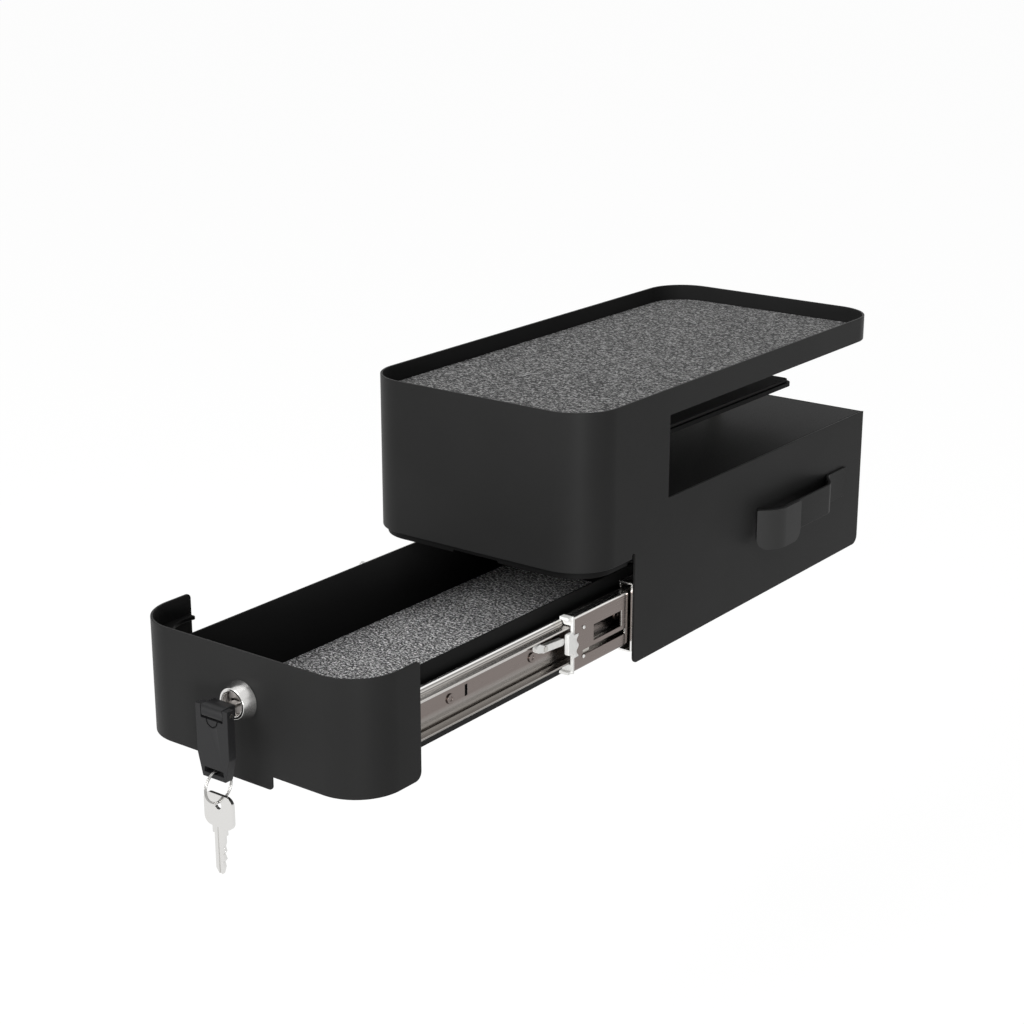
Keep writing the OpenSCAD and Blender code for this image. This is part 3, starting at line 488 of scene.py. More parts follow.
def plated_steel(
    name, colour, rough, line=0.35 * MM, along=(1, 0.03, 1), dark=0.9, spread=0.05, strength=0.05
):
    """Plated steel, cold-rolled or turned: a satin grain that follows its making.

    The grain's lines are line wide, longer along an axis whose scale in along is below 1, and dark times the
    colour at their darkest. The roughness differs by spread either way, and strength is the bump's."""
    m, tree, shader, place = new_material(name, {"Metallic": 1.0})
    stretch = add(tree, "ShaderNodeMapping", {"Scale": along}, {"Vector": place})
    lines = {"Scale": 1 / line, "Detail": 2.0}
    grain = add(tree, "ShaderNodeTexNoise", lines, {"Vector": stretch.outputs[0]})
    dress(tree, shader, grain.outputs[0], [(0.3, shade(colour, dark)), (0.7, colour)],
          (rough - spread, rough + spread), (strength, 0.02 * MM))
    return m


def slide_zinc(name, node, tones, rough=0.22, line=0.4 * MM):
    """Zinc-plated, roll-formed strip: a dull passivated web between bends and flanges, with painted
    highlights on the bends and painted shade in the creases.

    The tones are pairs of a share of the node's height and a colour. The rolling lines are drawn line wide,
    coarser than they are, so that they show."""
    m, tree, shader, place = new_material(name, {"Metallic": 1.0})
    low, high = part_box(node)
    split = add(tree, "ShaderNodeSeparateXYZ", links={0: place})
    span = {"From Min": low.z, "From Max": high.z}
    height = add(tree, "ShaderNodeMapRange", span, {"Value": split.outputs["Z"]})
    stretch = add(tree, "ShaderNodeMapping", {"Scale": (1.0, 0.02, 1.0)}, {"Vector": place})
    lines = {"Scale": 1 / line, "Detail": 2.0}
    grain = add(tree, "ShaderNodeTexNoise", lines, {"Vector": stretch.outputs[0]})
    dress(tree, shader, grain.outputs[0], tones, (rough - 0.04, rough + 0.06), tone_from=height.outputs[0])
    return m


def moulded(name, colour, rough, grain=0.5 * MM):
    """Moulded plastic or rubber: an even colour with the fine spark-eroded texture of its mould.

    The texture is drawn coarser than it is, so that it shows."""
    m, tree, shader, place = new_material(name, {"Specular IOR Level": 0.22})
    fine = add(tree, "ShaderNodeTexNoise", {"Scale": 1 / grain, "Detail": 2.0}, {"Vector": place})
    dress(tree, shader, fine.outputs[0], [(0.3, shade(colour, 0.94)), (0.7, colour)],
          (rough - 0.04, rough + 0.05), (0.1, 0.04 * MM))
    return m


MATERIALS = {}


def stands_for(node, finish):
    """Body, slot, finish and replaced nodes of a piece that stands for a CAD node."""
    return NODE_BODY[node], NODE_SLOT[node], MATERIALS[finish], [node]


class Step:
    """Operator that builds a part of the scene from the locker's sizes."""

    def execute(self, context):
        self.build(context.scene.locker_sizes)
        return {"FINISHED"}


class LOCKER_OT_finishes(Step, bpy.types.Operator):
    """Makes the finishes and gives each CAD node its own."""

    bl_idname = "locker.finishes"
    bl_label = "Finishes"

    def build(self, z):
        colours = bpy.context.scene.locker_colours
        c = {name: tuple(getattr(colours, name)) for name in LockerColours.__annotations__}
        M = MATERIALS
        M["powder"] = powder_coat("black powder coat", c["powder"], z.powder_grain)
        # The inside pieces get the same powder coat in a darker colour, as painted shade
        M["inner"] = powder_coat("black powder coat inside", c["inner"], z.powder_grain, 0.5)
        fibres = [c["felt_dark"], c["felt_mid"], c["felt_light"]]
        M["felt"] = needle_felt("grey needle felt", fibres, z.felt_grain)
        # The drawer's felt is the tray's felt painted lighter, fibre by fibre: painted light on the drawer's
        # floor
        lighter = 2.1
        fibres = [shade(fibre, lighter) for fibre in fibres]
        M["felt_drawer_painted_light"] = needle_felt("light grey needle felt", fibres, z.felt_grain)
        M["rubber"] = moulded("black EPDM rubber", linear("1a1a1a"), 0.8)
        M["pale"] = moulded("light grey acetal", c["pale_plastic"], 0.4)
        M["key_plastic"] = moulded("black ABS", c["key_plastic"], 0.42)
        M["cover"] = moulded("charcoal thermoplastic rubber", c["cover_plastic"], 0.55)
        # Tones of the slides, from the passivated web to painted highlights on the bends, with painted shade
        # in the creases
        dark, web, mid = linear("3d3a37"), c["zinc_web"], linear("9b9793")
        soft, bright, white = linear("d2cfcb"), c["zinc_bright"], linear("f2f1ef")
        M["outer"] = slide_zinc("zinc-plated outer member", "slide_outer_right",
                                [(0.02, bright), (0.1, web), (0.9, web), (0.98, bright)])
        M["middle"] = slide_zinc("zinc-plated middle member", "slide_middle_right",
                                 [(0.0, web), (0.96, web), (0.975, bright), (1.0, bright)])
        # Shares of the height where painted highlights lie along the bends and painted shade in the creases,
        # from the low flange to the high one
        M["inner_member"] = slide_zinc("zinc-plated inner member", "slide_inner_right", [
            (0.0, white), (0.05, white), (0.058, dark), (0.07, soft), (0.1, white), (0.118, soft),
            (0.124, dark), (0.132, mid), (0.17, mid), (0.22, soft), (0.29, mid), (0.42, web), (0.68, web),
            (0.7, white), (0.73, soft), (0.765, mid), (0.775, dark), (0.785, mid), (0.83, soft),
            (0.845, dark), (0.855, soft), (0.9, mid), (0.91, dark), (0.92, soft), (0.955, mid), (0.962, dark),
            (0.972, white), (1.0, white)])
        # The members' sheared ends are painted near-white: a painted highlight along them
        M["cut_end"] = plated_steel("zinc-plated steel, sheared", white, 0.22)
        M["zinc"] = plated_steel("zinc-plated steel", linear("c4c2be"), 0.32)
        M["cage"] = plated_steel("bright spring steel", linear("bcb9b3"), 0.28)
        # Pieces that aren't rolled have a grain without direction, and a thick bright plate hides most of it
        even = {"along": (1, 1, 1)}
        plate = {"line": 0.12 * MM, "dark": 0.985, "spread": 0.02, "strength": 0.01}
        M["ball"] = plated_steel("polished ball steel", linear("e6e4e0"), 0.12, **even)
        M["nickel"] = plated_steel("bright nickel plate", c["nickel"], 0.15, along=(1, 0.2, 1), **plate)
        M["ring"] = plated_steel("nickel-plated spring wire", linear("a3a2a0"), 0.3, **even, **plate)
        plate["dark"] = 0.98
        M["plug"] = plated_steel("nickel-plated brass plug", linear("a8a3a0"), 0.32, **even, **plate)
        M["dull_screw"] = plated_steel("dull zinc-plated screw", web, 0.3, line=0.2 * MM, dark=0.97, **even)
        finish = {
            "powder": ["housing_shell", "drawer_front", "hook_strap"],
            # Pieces inside the housing and the drawer take the darker coat, as painted shade
            "inner": ["slot_liner", "tray_floor", "ceiling_pan", "back_panel", "drawer_box", "clamp_plate",
                      *pair("corner_plate")],
            "rubber": ["desk_pads", "clamp_pad"],
            "outer": pair("slide_outer"),
            "middle": pair("slide_middle"),
            "inner_member": pair("slide_inner"),
            "zinc": ["slide_screws", "clamp_nuts", "clamp_screw_front", "clamp_screw_rear", "lock_nut",
                     "lock_cam", "cam_screw", "lever_rivets"],
            "dull_screw": ["drawer_screws"],
            "cage": [*pair("ball_cage_outer"), *pair("ball_cage_inner"), "key_pin"],
            "ball": ["outer_balls", "inner_balls"],
            "pale": [*pair("slide_stop"), *pair("release_lever")],
            "nickel": ["lock_body", "key_blade", "spare_key"],
            "ring": ["key_ring"],
            "plug": ["lock_plug"],
            "key_plastic": ["key_bow", "key_head"],
            "cover": ["hook_cover"],
            "felt": ["tray_mat"],
            "felt_drawer_painted_light": ["drawer_mat"],
        }
        for key, names in finish.items():
            for name in names:
                o = frame["nodes"][name]
                o.data.materials.clear()
                o.data.materials.append(M[key])


def housing_plan(z):
    """Plan of the housing's sheet: a closed path from the middle of the front, and its points' flat depths.

    The flat depth is the true depth as far as the back corners. Round them it goes on by the arc's length."""
    half, r = SHELL_HIGH.x, z.corner
    y0, y1 = SHELL_LOW.y, SHELL_HIGH.y
    marks = places(z.slot_front, np.linspace(z.panel_front, z.panel_front + z.panel_radius, 7),
                   np.linspace(z.wrap, z.panel_front, 9))
    side = run((half, y0 + r), (half, y1 - r), marks - r)
    # The side panels' back edges lie this far round the back corners
    tail = z.cell_depth - (y1 - r - y0)
    arc = places(np.linspace(tail - z.panel_back_radius, tail, 8),
                 np.linspace(0, r * math.pi / 2, z.bend_steps + 1), digits=6)
    back = np.c_[half - r + r * np.cos(arc / r), y1 - r + r * np.sin(arc / r)]
    right = chain(run((0, y0), (half - r, y0)), bend((half - r, y0 + r), r, -90, 0, z.bend_steps), side, back,
                  run((half - r, y1), (0, y1)))
    flat = right[:, 1].copy()
    first = int(np.argmin(abs(right[:, 1] - (y1 - r)) + abs(right[:, 0] - half)))
    flat[first : first + len(arc)] = y1 - r + arc
    flat[first + len(arc) :] = y1 + r
    path = np.vstack([right, right[-2:0:-1] * (-1, 1)])
    return path[:, 0], path[:, 1], np.r_[flat, flat[-2:0:-1]]


class LOCKER_OT_housing(Step, bpy.types.Operator):
    """Folded sheet of the housing: tray wall, apron and side panels, with round edges."""

    bl_idname = "locker.housing"
    bl_label = "Housing"

    def build(self, z):
        half, y0, base = SHELL_HIGH.x, SHELL_LOW.y, SHELL_LOW.z
        back_line = SHELL_HIGH.y - z.corner
        slot_top, apron, cell = FLOOR_LOW.z - z.slot_rise, base + z.apron, base + z.cell
        # The relief slit between the wrapped end and the side panel ends in a half circle
        relief = (z.panel_front - z.wrap) / 2
        x, y, flat = housing_plan(z)
        levels = places(np.linspace(base, base + z.panel_radius, 7),
                        np.linspace(base, base + z.panel_back_radius, 8),
                        np.linspace(apron, apron + 2 * relief, 9), cell, slot_top, SHELL_HIGH.z)
        # Cells that hold sheet, by the depth and height of their middles
        depth = (((flat + np.roll(flat, -1)) / 2)[:, None] - y0) * np.ones(len(levels) - 1)
        height = ((levels[1:] + levels[:-1]) / 2)[None, :] * np.ones((len(flat), 1))
        before_slot = depth < z.slot_front
        panel = depth > z.panel_front
        keep = (height > slot_top) | (before_slot & (height > apron) & ((depth < z.wrap) | panel))
        keep |= panel & before_slot
        keep |= panel & (depth < z.cell_depth) & (height < cell)
        keep |= (height > apron + 2 * relief) & before_slot
        # Round corners, worked out on the flat sheet
        d, h = np.meshgrid(flat, levels, indexing="ij")
        on_side = abs(np.abs(x)[:, None] - half) < SAME
        on_tail = (h <= cell + SAME) & (d > back_line - SAME)
        flat_part = on_side | on_tail
        r = z.panel_radius
        d, h = rounded(d, h, flat_part, (-1, -1), (y0 + z.panel_front + r, base + r), r)
        r = z.panel_back_radius
        d, h = rounded(d, h, flat_part, (1, -1), (y0 + z.cell_depth - r, base + r), r)
        d, h = rounded(d, h, flat_part, (0, 1), (y0 + z.wrap + relief, apron + relief), relief)
        across = np.where(on_tail, np.sign(x)[:, None] * half, x[:, None] * np.ones_like(h))
        along = np.where(flat_part, d, y[:, None] * np.ones_like(h))
        co = np.stack([across, along, h], -1).reshape(-1, 3)
        faces = [grid_faces(len(x), len(levels), keep, True)]
        o = piece("housing_sheet", co, faces, *stands_for("housing_shell", "powder"))
        thicken(o, z.sheet, z.edge)


class LOCKER_OT_drawer_front(Step, bpy.types.Operator):
    """Bent sheet of the drawer's front with its tab and the lock's hole."""

    bl_idname = "locker.drawer_front"
    bl_label = "Drawer front"

    def build(self, z):
        half, r = FRONT_HIGH.x, z.corner
        y0, y1 = FRONT_LOW.y, FRONT_HIGH.y
        hole, tab, tip = z.lock_hole / 2, z.tab_width / 2, FRONT_LOW.z
        base, top = FRONT_HIGH.z - z.front_height, FRONT_HIGH.z
        # Half of the plan, from the middle of the front to the end of the wrapped end
        marks = places(np.linspace(0, hole, 7), np.linspace(tab - z.tab_radius, tab, 6))
        ears = places(np.linspace(z.wrap - z.ear_low, z.wrap, 8), np.linspace(z.wrap - z.ear_top, z.wrap, 6))
        right = chain(run((0, y0), (half - r, y0), marks), bend((half - r, y0 + r), r, -90, 0, z.bend_steps),
                      run((half, y0 + r), (half, y1), ears - r))
        x, y = np.vstack([right[:0:-1] * (-1, 1), right]).T
        levels = places(np.linspace(tip, tip + z.tab_radius, 6), np.linspace(base, base + z.ear_low, 8),
                        np.linspace(top - z.ear_top, top, 6), np.linspace(LOCK_Z - hole, LOCK_Z + hole, 13))
        # Cells that hold sheet, by their middles
        across, up = np.meshgrid((x[1:] + x[:-1]) / 2, (levels[1:] + levels[:-1]) / 2, indexing="ij")
        keep = (up > base) | (abs(across) < tab)
        keep &= ~((abs(across) < hole) & (abs(up - LOCK_Z) < hole))
        # Round corners of the hole, the tab and the wrapped ends, each on its flat part of the sheet
        x, h = np.meshgrid(x, levels, indexing="ij")
        y = y[:, None] * np.ones_like(h)
        in_front = y < y0 + SAME
        on_side = abs(np.abs(x) - half) < SAME
        a, hf = rounded(np.abs(x), h, in_front, (0, 0), (0.0, LOCK_Z), hole)
        a, hf = rounded(a, hf, in_front, (1, -1), (tab - z.tab_radius, tip + z.tab_radius), z.tab_radius)
        x, h = np.where(in_front, np.sign(x) * a, x), np.where(in_front, hf, h)
        d, hs = rounded(y, h, on_side, (1, -1), (y1 - z.ear_low, base + z.ear_low), z.ear_low)
        d, hs = rounded(d, hs, on_side, (1, 1), (y1 - z.ear_top, top - z.ear_top), z.ear_top)
        y, h = np.where(on_side, d, y), np.where(on_side, hs, h)
        co = np.stack([x, y, h], -1).reshape(-1, 3)
        faces = [grid_faces(len(x), len(levels), keep, False)]
        o = piece("drawer_front_sheet", co, faces, *stands_for("drawer_front", "powder"))
        thicken(o, z.sheet, z.edge)


def mat_rings(outline, z0, z1, edge=0.7 * MM):
    """Rings of a mat: up its side, round its upper edge by a quarter circle, and in to its middle."""
    centre = outline.mean(0)
    step = np.linspace(0, math.pi / 2, 5)
    reach = np.linalg.norm(outline - centre, axis=1, keepdims=True)
    shrink = np.r_[0, 0, edge * (1 - np.cos(step)), edge * 1.5]
    height = np.r_[z0, z0 + (z1 - z0) * 0.4, z1 - edge + edge * np.sin(step), z1]
    rings = [(1 - s / reach, h) for s, h in zip(shrink, height)]
    rings += [(share, z1) for share in (0.97, 0.9, 0.7, 0.4, 0.1)]
    level = np.ones(len(outline))
    return np.array([np.c_[centre + (outline - centre) * share, h * level] for share, h in rings])


class LOCKER_OT_mats(Step, bpy.types.Operator):
    """Felt mats of the tray and the drawer."""

    bl_idname = "locker.mats"
    bl_label = "Felt mats"

    def build(self, z):
        low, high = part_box("tray_mat")
        r = z.corner - (SHELL_HIGH.x - high.x)
        rings = mat_rings(flat_outline(high.x, low.y, high.y, r, 16), low.z, high.z)
        o = loft("tray_felt", rings, *stands_for("tray_mat", "felt"))
        # The drawer mat's front corners follow the front panel's bend, with a little play
        low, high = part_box("drawer_mat")
        play = 0.3 * MM
        centre_x = FRONT_HIGH.x - z.corner
        y_front = FRONT_LOW.y + z.sheet + play
        r = z.corner - z.sheet - play
        turn = np.degrees(np.arcsin(min(1.0, (high.x - centre_x) / r)))
        arc = bend((centre_x, y_front + r), r, -90, -90 + turn, 12)
        right = chain(run((0, y_front), (centre_x, y_front)), arc, run(arc[-1], (high.x, high.y)))
        outline = chain(right, right[::-1] * (-1, 1))[:-1]
        rings = mat_rings(outline, low.z, high.z)
        o = loft("drawer_felt", rings, *stands_for("drawer_mat", "felt_drawer_painted_light"))


class LOCKER_OT_formed(Step, bpy.types.Operator):
    """Folded, rolled, stamped and moulded pieces, with the round edges that their making leaves."""

    bl_idname = "locker.formed"
    bl_label = "Formed pieces"

    def build(self, z):
        # Radius of the round edges, and the pieces that have them
        sizes = {
            0.45 * MM: ["ceiling_pan", "slot_liner", "drawer_box"],
            0.3 * MM: [*pair("release_lever"), *pair("slide_stop"), "lock_cam", "lock_nut", "cam_screw",
                       "desk_pads", "clamp_plate", "clamp_pad"],
            0.2 * MM: ["spare_key", "key_blade", "drawer_screws", "clamp_nuts"],
        }
        for edge, nodes in sizes.items():
            for node in nodes:
                # The box's rim is left in triangles, since one face round its opening would close it
                eased(node, edge, join=node != "drawer_box")
        rolled = 0.25 * MM
        # The slides' members get rolled edges, and their cut ends a painted highlight
        for node in pair("slide_outer") + pair("slide_middle") + pair("slide_inner"):
            eased(node, rolled, MATERIALS["cut_end"])
        # The corner plates end in a thick rolled edge: the lower face of the copy lies further down
        roll = 1.1 * MM
        for node in pair("corner_plate"):
            low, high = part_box(node)
            middle = (low.z + high.z) / 2
            move(eased(node, roll, steps=4), lambda co: co - (co[:, 2:] < middle) * np.array([0, 0, roll]))


class LOCKER_OT_lock(Step, bpy.types.Operator):
    """Turned bezel and threaded barrel of the lock, and its plug's dished face."""

    bl_idname = "locker.lock"
    bl_label = "Lock"

    def build(self, z):
        out, face, base = z.bezel_out, z.bezel_face / 2, z.bezel_base / 2
        play, lip, smooth, first_crest, depth = 0.08 * MM, 0.5 * MM, 2 * MM, 2.5 * MM, 0.45 * MM
        bore, barrel, back = z.plug / 2 + play, z.barrel / 2, LOCK_HIGH.y - FRONT_LOW.y
        # The profile has radius and depth, from the bore's back, out over the face and back along the thread.
        # The bore's mouth is given by how far it has widened and its depth below the face
        mouth = np.array([(0, 3.4), (0.5, 0.5), (0.75, 0.12), (1.05, 0)]) * MM
        mouth = np.c_[bore + mouth[:, 0], mouth[:, 1] - out]
        nose = bend((face - lip, lip - out), lip, -90, 0, 5)
        foot = bend((base - lip, -lip), lip, 0, 90, 5)
        crests = np.arange(first_crest, back - z.thread, z.thread)
        thread = np.c_[np.tile([barrel - depth, barrel], len(crests)), np.repeat(crests, 2)]
        thread[1::2, 1] += z.thread / 2
        end = [(barrel - 0.4 * MM, back - 0.2 * MM), (barrel - 0.6 * MM, back)]
        profile = np.vstack([(bore, back), mouth, nose, foot, (barrel, 0), (barrel, smooth), thread, end])
        turned("lock_bezel", profile, (0, FRONT_LOW.y, LOCK_Z), *stands_for("lock_body", "nickel"))
        # The plug's face lies deep in the bore and is dished by dish (1 - (r / R)^2) round the blade's slot.
        # The slot's outline lies at r = min(a / |cos t|, b / |sin t|). The angle of its corners, in degrees,
        # is one at which points lie
        t = np.linspace(0, 2 * math.pi, 96, endpoint=False)
        radius, deep, dish, slot_a, corner = z.plug / 2, 3.6 * MM, 0.9 * MM, 4.2 * MM, 15
        slot_b = slot_a * math.tan(math.radians(corner))
        slot = np.minimum(slot_a / np.maximum(abs(np.cos(t)), NIL), slot_b / np.maximum(abs(np.sin(t)), NIL))
        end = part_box("lock_plug")[1].y - FRONT_LOW.y + 0 * t
        rings = [(slot, end)]
        for share in (0, 0.2, 0.4, 0.6, 0.8, 0.94, 1):
            r = slot + (radius - slot) * share
            rings.append((r, deep + dish * (1 - (r / radius) ** 2) - out))
        rings.append((radius + 0 * t, end))
        rings = np.array([np.c_[r * np.cos(t), FRONT_LOW.y + d, LOCK_Z + r * np.sin(t)] for r, d in rings])
        loft("plug_face", rings, *stands_for("lock_plug", "plug"), closed=True)


def split_ring_rings(low, high, turn):
    """Rings of the split ring's wire: two turns, the second beside the first, in the box of the CAD's ring.

    A short step between the turns goes by 3 s^2 - 2 s^3. The wire is a little wider than thick: its section
    is wire (wider cos a, sin a)."""
    wire, wider, inset, step = 0.44 * MM, 1.15, 0.8 * MM, 0.7
    centre = (np.array(low) + np.array(high)) / 2
    radius = (high.z - low.z) / 2 - inset
    t = np.linspace(0, 4 * math.pi, 257)
    s = np.clip((t - 2 * math.pi) / step + 0.5, 0, 1)
    aside = wire * (2 * s * s * (3 - 2 * s) - 1)
    across = np.array([math.cos(turn), math.sin(turn), 0])
    ahead = np.array([-math.sin(turn), math.cos(turn), 0])
    outwards = np.cos(t)[:, None] * ahead + np.sin(t)[:, None] * np.array([0, 0, 1])
    path = centre + radius * outwards + aside[:, None] * across
    a = np.linspace(0, 2 * math.pi, 10, endpoint=False)[None, :, None]
    return path[:, None] + wire * (wider * np.cos(a) * outwards[:, None] + np.sin(a) * across)


class LOCKER_OT_keys(Step, bpy.types.Operator):
    """Folding key's block and head, and the split ring: two turns of wire."""

    bl_idname = "locker.keys"
    bl_label = "Key and ring"

    def build(self, z):
        # Block: square in front and above, and round about the pin below
        low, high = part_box("key_bow")
        r, edge = 1.5 * MM, 0.35 * MM
        outline = chain(run((high.y, low.z), (high.y, high.z)), run((high.y, high.z), (low.y, high.z)),
                        run((low.y, high.z), (low.y, low.z + r)),
                        bend((low.y + r, low.z + r), r, 180, 270, 6))
        prism("key_block", outline, 0, low.x, high.x, edge, *stands_for("key_bow", "key_plastic"))
        # Head: less tapered than in the CAD. Over the length taper its half width goes from half to wide, and
        # the CAD's goes to narrow
        low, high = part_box("key_head")
        taper, narrow, wide, half, edge = 13.1 * MM, 6.8 * MM, 8.5 * MM, high.x, 0.5 * MM

        def widen(co):
            t = np.clip((low.z + taper - co[:, 2]) / taper, 0, 1)
            share = (half - (half - wide) * t) / (half - (half - narrow) * t)
            return co * np.c_[share, np.ones_like(t), np.ones_like(t)]

        move(eased("key_head", edge, steps=3), widen)
        # Half disc that stands in the recess under the block
        drop, radius, front, back, edge = 4.2 * MM, 3.6 * MM, 0.1 * MM, 1.3 * MM, 0.3 * MM
        tongue = bend((0, LOCK_Z - drop), radius, 180, 360, 20)
        prism("head_tongue", tongue, 1, low.y + front, low.y + back, edge, NODE_BODY["key_head"],
              NODE_SLOT["key_head"], MATERIALS["key_plastic"])
        rings = split_ring_rings(*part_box("key_ring"), z.ring_turn)
        loft("split_ring", rings, *stands_for("key_ring", "ring"))


def hook_path(z, reach, length):
    """Plan of the hook's strip over a length from its free end, set out by reach from its inner face.

    With t the share of the curled end that is passed, the strip stands off by tip + (gap - tip) t (2 - t),
    and the smooth step 3 s^2 - 2 s^3 brings it back to the panel."""
    joggle = z.hook_length - z.hook_foot - z.hook_joggle
    u = places(z.hook_curl * np.linspace(0, 1, 17), joggle + z.hook_joggle * np.linspace(0, 1, 25),
               z.hook_length, length)
    u = u[u <= length + NIL]
    t, s = np.clip(u / z.hook_curl, 0, 1), np.clip((u - joggle) / z.hook_joggle, 0, 1)
    rise = z.hook_gap - z.hook_tip_gap
    off = z.hook_tip_gap + rise * t * (2 - t) - z.hook_gap * s * s * (3 - 2 * s)
    slope = rise * 2 * (1 - t) / z.hook_curl - z.hook_gap * 6 * s * (1 - s) / z.hook_joggle
    a = np.arctan(slope)
    y = SHELL_LOW.y + z.hook_front + u
    return np.c_[SHELL_HIGH.x + off + reach * np.cos(a), y - reach * np.sin(a)]


class LOCKER_OT_hook(Step, bpy.types.Operator):
    """Bag hook: its bent strip and the soft cover on its free end."""

    bl_idname = "locker.hook"
    bl_label = "Bag hook"

    def build(self, z):
        low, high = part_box("hook_strap")
        r = 3 * MM
        o = strip("hook_strip", hook_path(z, z.hook_strip, z.hook_length), low.z, high.z,
                  [(1, 1, r), (1, -1, r), (-1, -1, r)], *stands_for("hook_strap", "powder"))
        thicken(o, z.hook_strip, z.edge)
        low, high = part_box("hook_cover")
        r, behind, before, soft_edge = z.cover_radius, 2 * MM, 1 * MM, 0.8 * MM
        o = strip("hook_grip", hook_path(z, z.hook_strip + z.cover_wall, z.cover_length), low.z, high.z,
                  [(-1, -1, r), (1, -1, r), (1, 1, behind), (-1, 1, before)],
                  *stands_for("hook_cover", "cover"))
        thicken(o, z.cover_wall, soft_edge, steps=4)


class LOCKER_OT_stop_clips(Step, bpy.types.Operator):
    """Moulded clips that hold the stops at the middle members' front ends."""

    bl_idname = "locker.stop_clips"
    bl_label = "Stop clips"

    def build(self, z):
        finish = "slide_middle", "light_plastic", MATERIALS["pale"]
        # Along y from the member's front end, up from its middle height, and out from its web's outer face
        column_middle, column_half, column_corner, column_edge = -4.2 * MM, 2.8 * MM, 1.2 * MM, 0.5 * MM
        column_low, column_high, column_out, column_in = -4.6 * MM, 8.6 * MM, 0.85 * MM, -2.3 * MM
        tongue_front, tongue_back, scallop, tongue_edge = -1.7 * MM, 3.4 * MM, 2.1 * MM, 0.25 * MM
        tongue_low, tongue_high, tongue_out, tongue_in = -7.6 * MM, 6.8 * MM, 0.8 * MM, 0.02 * MM
        peg_middle, peg_radius, peg_edge = 9.1 * MM, 1.15 * MM, 0.35 * MM
        pegs = {"high": 8.9 * MM, "low": -9.5 * MM}
        for side, name in ((1, "right"), (-1, "left")):
            low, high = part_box("slide_middle_" + name)
            front, middle = low.y, (low.z + high.z) / 2
            web = max(abs(low.x), abs(high.x))
            column = flat_outline(column_half, middle + column_low, middle + column_high, column_corner, 5)
            column[:, 0] += front + column_middle
            reach = sorted((side * (web + column_out), side * (web + column_in)))
            prism("stop_column_" + name, column, 0, *reach, column_edge, *finish)
            # The tongue lies on the web, with a back edge scalloped by sin^2
            t = np.linspace(0, 1, 33)
            back = np.c_[front + tongue_back - scallop * np.sin(2 * math.pi * t) ** 2,
                         middle + tongue_low + (tongue_high - tongue_low) * t]
            low_end = front + tongue_front, middle + tongue_low
            high_end = front + tongue_front, middle + tongue_high
            tongue = np.vstack([low_end, back, high_end])
            reach = sorted((side * (web + tongue_out), side * (web + tongue_in)))
            prism("stop_tongue_" + name, tongue, 0, *reach, tongue_edge, *finish)
            # Two pegs hold the clip in the web
            for label, rise in pegs.items():
                peg = bend((front + peg_middle, middle + rise), peg_radius, 0, 360 - 22.5, 15)
                prism(f"stop_peg_{name}_{label}", peg, 0, *reach, peg_edge, *finish)


def background_rays(tree):
    """1 on rays that see the background, from the camera or by way of gloss or glass, and 0 on others."""
    ray = add(tree, "ShaderNodeLightPath")
    seen = ray.outputs["Is Camera Ray"]
    for kind in ("Is Glossy Ray", "Is Transmission Ray"):
        either = {0: seen, 1: ray.outputs[kind]}
        seen = add(tree, "ShaderNodeMath", links=either, operation="MAXIMUM").outputs[0]
    return seen


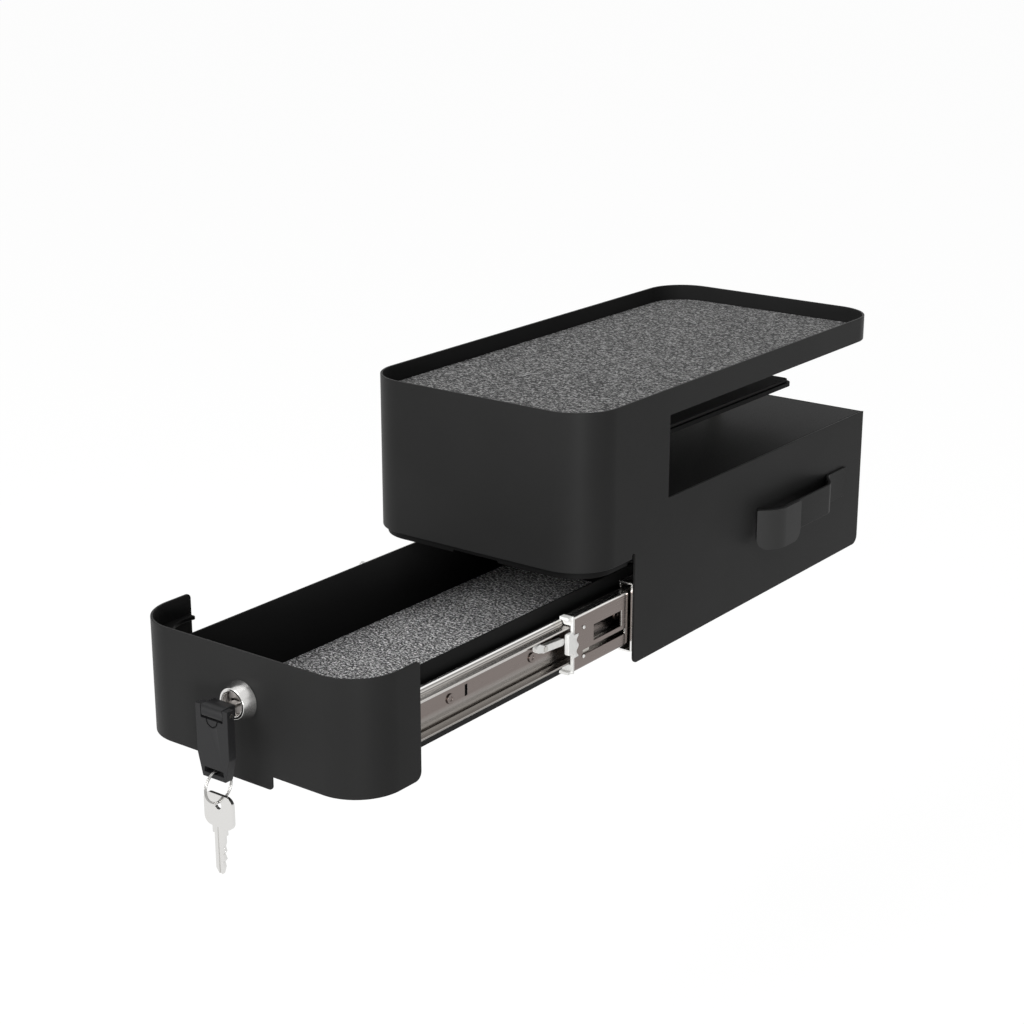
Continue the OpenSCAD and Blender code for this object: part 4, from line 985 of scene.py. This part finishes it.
class LOCKER_OT_stage(Step, bpy.types.Operator):
    """Pale floor, soft light and the camera at the photograph's angle."""

    bl_idname = "locker.stage"
    bl_label = "Stage"

    def build(self, z):
        scene = bpy.context.scene
        plain_white = (1, 1, 1, 1)
        # The floor lies under the hanging locker. Background rays see this share of white, and the rest of it
        # keeps a little shadow
        size, gap, share = 30.0, 0.28, 0.88
        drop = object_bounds()[0][2] - gap
        mesh = bpy.data.meshes.new("floor")
        corners = [(-size, -size, drop), (size, -size, drop), (size, size, drop), (-size, size, drop)]
        mesh.from_pydata(corners, [], [(0, 1, 2, 3)])
        floor = link("floor", mesh)
        m = bpy.data.materials.new("pale floor")
        tree = bare_tree(m)
        part = add(tree, "ShaderNodeMath", {1: share}, {0: background_rays(tree)}, operation="MULTIPLY")
        pale = add(tree, "ShaderNodeBsdfDiffuse", {"Color": linear("f4f4f2")})
        white = add(tree, "ShaderNodeEmission", {"Color": plain_white, "Strength": 1.09})
        mixed = {0: part.outputs[0], 1: pale.outputs[0], 2: white.outputs[0]}
        mix = add(tree, "ShaderNodeMixShader", links=mixed)
        add(tree, "ShaderNodeOutputMaterial", links={0: mix.outputs[0]})
        mesh.materials.append(m)
        floor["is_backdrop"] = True
        world = bpy.data.worlds.new("studio")
        scene.world = world
        tree = bare_tree(world)
        soft = add(tree, "ShaderNodeBackground", {"Color": plain_white, "Strength": 0.17})
        white = add(tree, "ShaderNodeBackground", {"Color": plain_white, "Strength": 1.0})
        mixed = {0: background_rays(tree), 1: soft.outputs[0], 2: white.outputs[0]}
        mix = add(tree, "ShaderNodeMixShader", links=mixed)
        add(tree, "ShaderNodeOutputWorld", links={0: mix.outputs[0]})
        # Soft boxes: name, place, aim, width, power
        for name, place, aim, width, power in (
            ("key light", (-0.35, -2.0, 1.1), (0, -0.1, 0), 1.1, 30.0),
            ("top light", (-0.05, -0.75, 1.9), (0, -0.3, 0), 1.1, 9.5),
            ("corner light", (1.35, -1.6, -0.02), (0, -0.25, -0.08), 0.45, 19.0),
        ):
            lamp = bpy.data.lights.new(name, "AREA")
            lamp.size = width
            lamp.energy = power
            o = link(name, lamp)
            o.location = place
            o.rotation_euler = (Vector(aim) - Vector(place)).to_track_quat("-Z", "Y").to_euler()
        # Camera fitted to the photograph's edges: its place, and how far it looks down and turns, in degrees
        place, down, turn = (0.7272, -1.13945, 0.3278), 18.03, 36.99
        camera = bpy.data.cameras.new("camera")
        camera.sensor_width = 36.0
        camera.lens = 72.0
        camera.clip_start = 0.05
        camera.clip_end = 100
        o = link("camera", camera)
        o.location = place
        o.rotation_euler = (math.radians(90 - down), 0, math.radians(turn))
        scene.camera = o
        scene.view_settings.view_transform = "Standard"


class LOCKER_PT_panel(bpy.types.Panel):
    """Lists the locker's pieces and sizes."""

    bl_idname = "LOCKER_PT_panel"
    bl_label = "Desktop locker"
    bl_space_type = "VIEW_3D"
    bl_region_type = "UI"
    bl_category = "Locker"

    def draw(self, context):
        column = self.layout.column()
        for operator in OPERATORS:
            column.operator(operator.bl_idname)
        for group in (context.scene.locker_sizes, context.scene.locker_colours):
            for name in group.__annotations__:
                column.prop(group, name, text=name.replace("_", " ").capitalize())


OPERATORS = (LOCKER_OT_stage, LOCKER_OT_finishes, LOCKER_OT_housing, LOCKER_OT_drawer_front, LOCKER_OT_mats,
             LOCKER_OT_formed, LOCKER_OT_lock, LOCKER_OT_keys, LOCKER_OT_hook, LOCKER_OT_stop_clips)
CLASSES = (LockerSizes, LockerColours, *OPERATORS, LOCKER_PT_panel)


def register():
    for c in CLASSES:
        bpy.utils.register_class(c)
    bpy.types.Scene.locker_sizes = PointerProperty(type=LockerSizes)
    bpy.types.Scene.locker_colours = PointerProperty(type=LockerColours)


def unregister():
    del bpy.types.Scene.locker_colours
    del bpy.types.Scene.locker_sizes
    for c in reversed(CLASSES):
        bpy.utils.unregister_class(c)


def main():
    register()
    for operator in OPERATORS:
        group, name = operator.bl_idname.split(".")
        getattr(getattr(bpy.ops, group), name)()


if __name__ == "__main__":
    main()
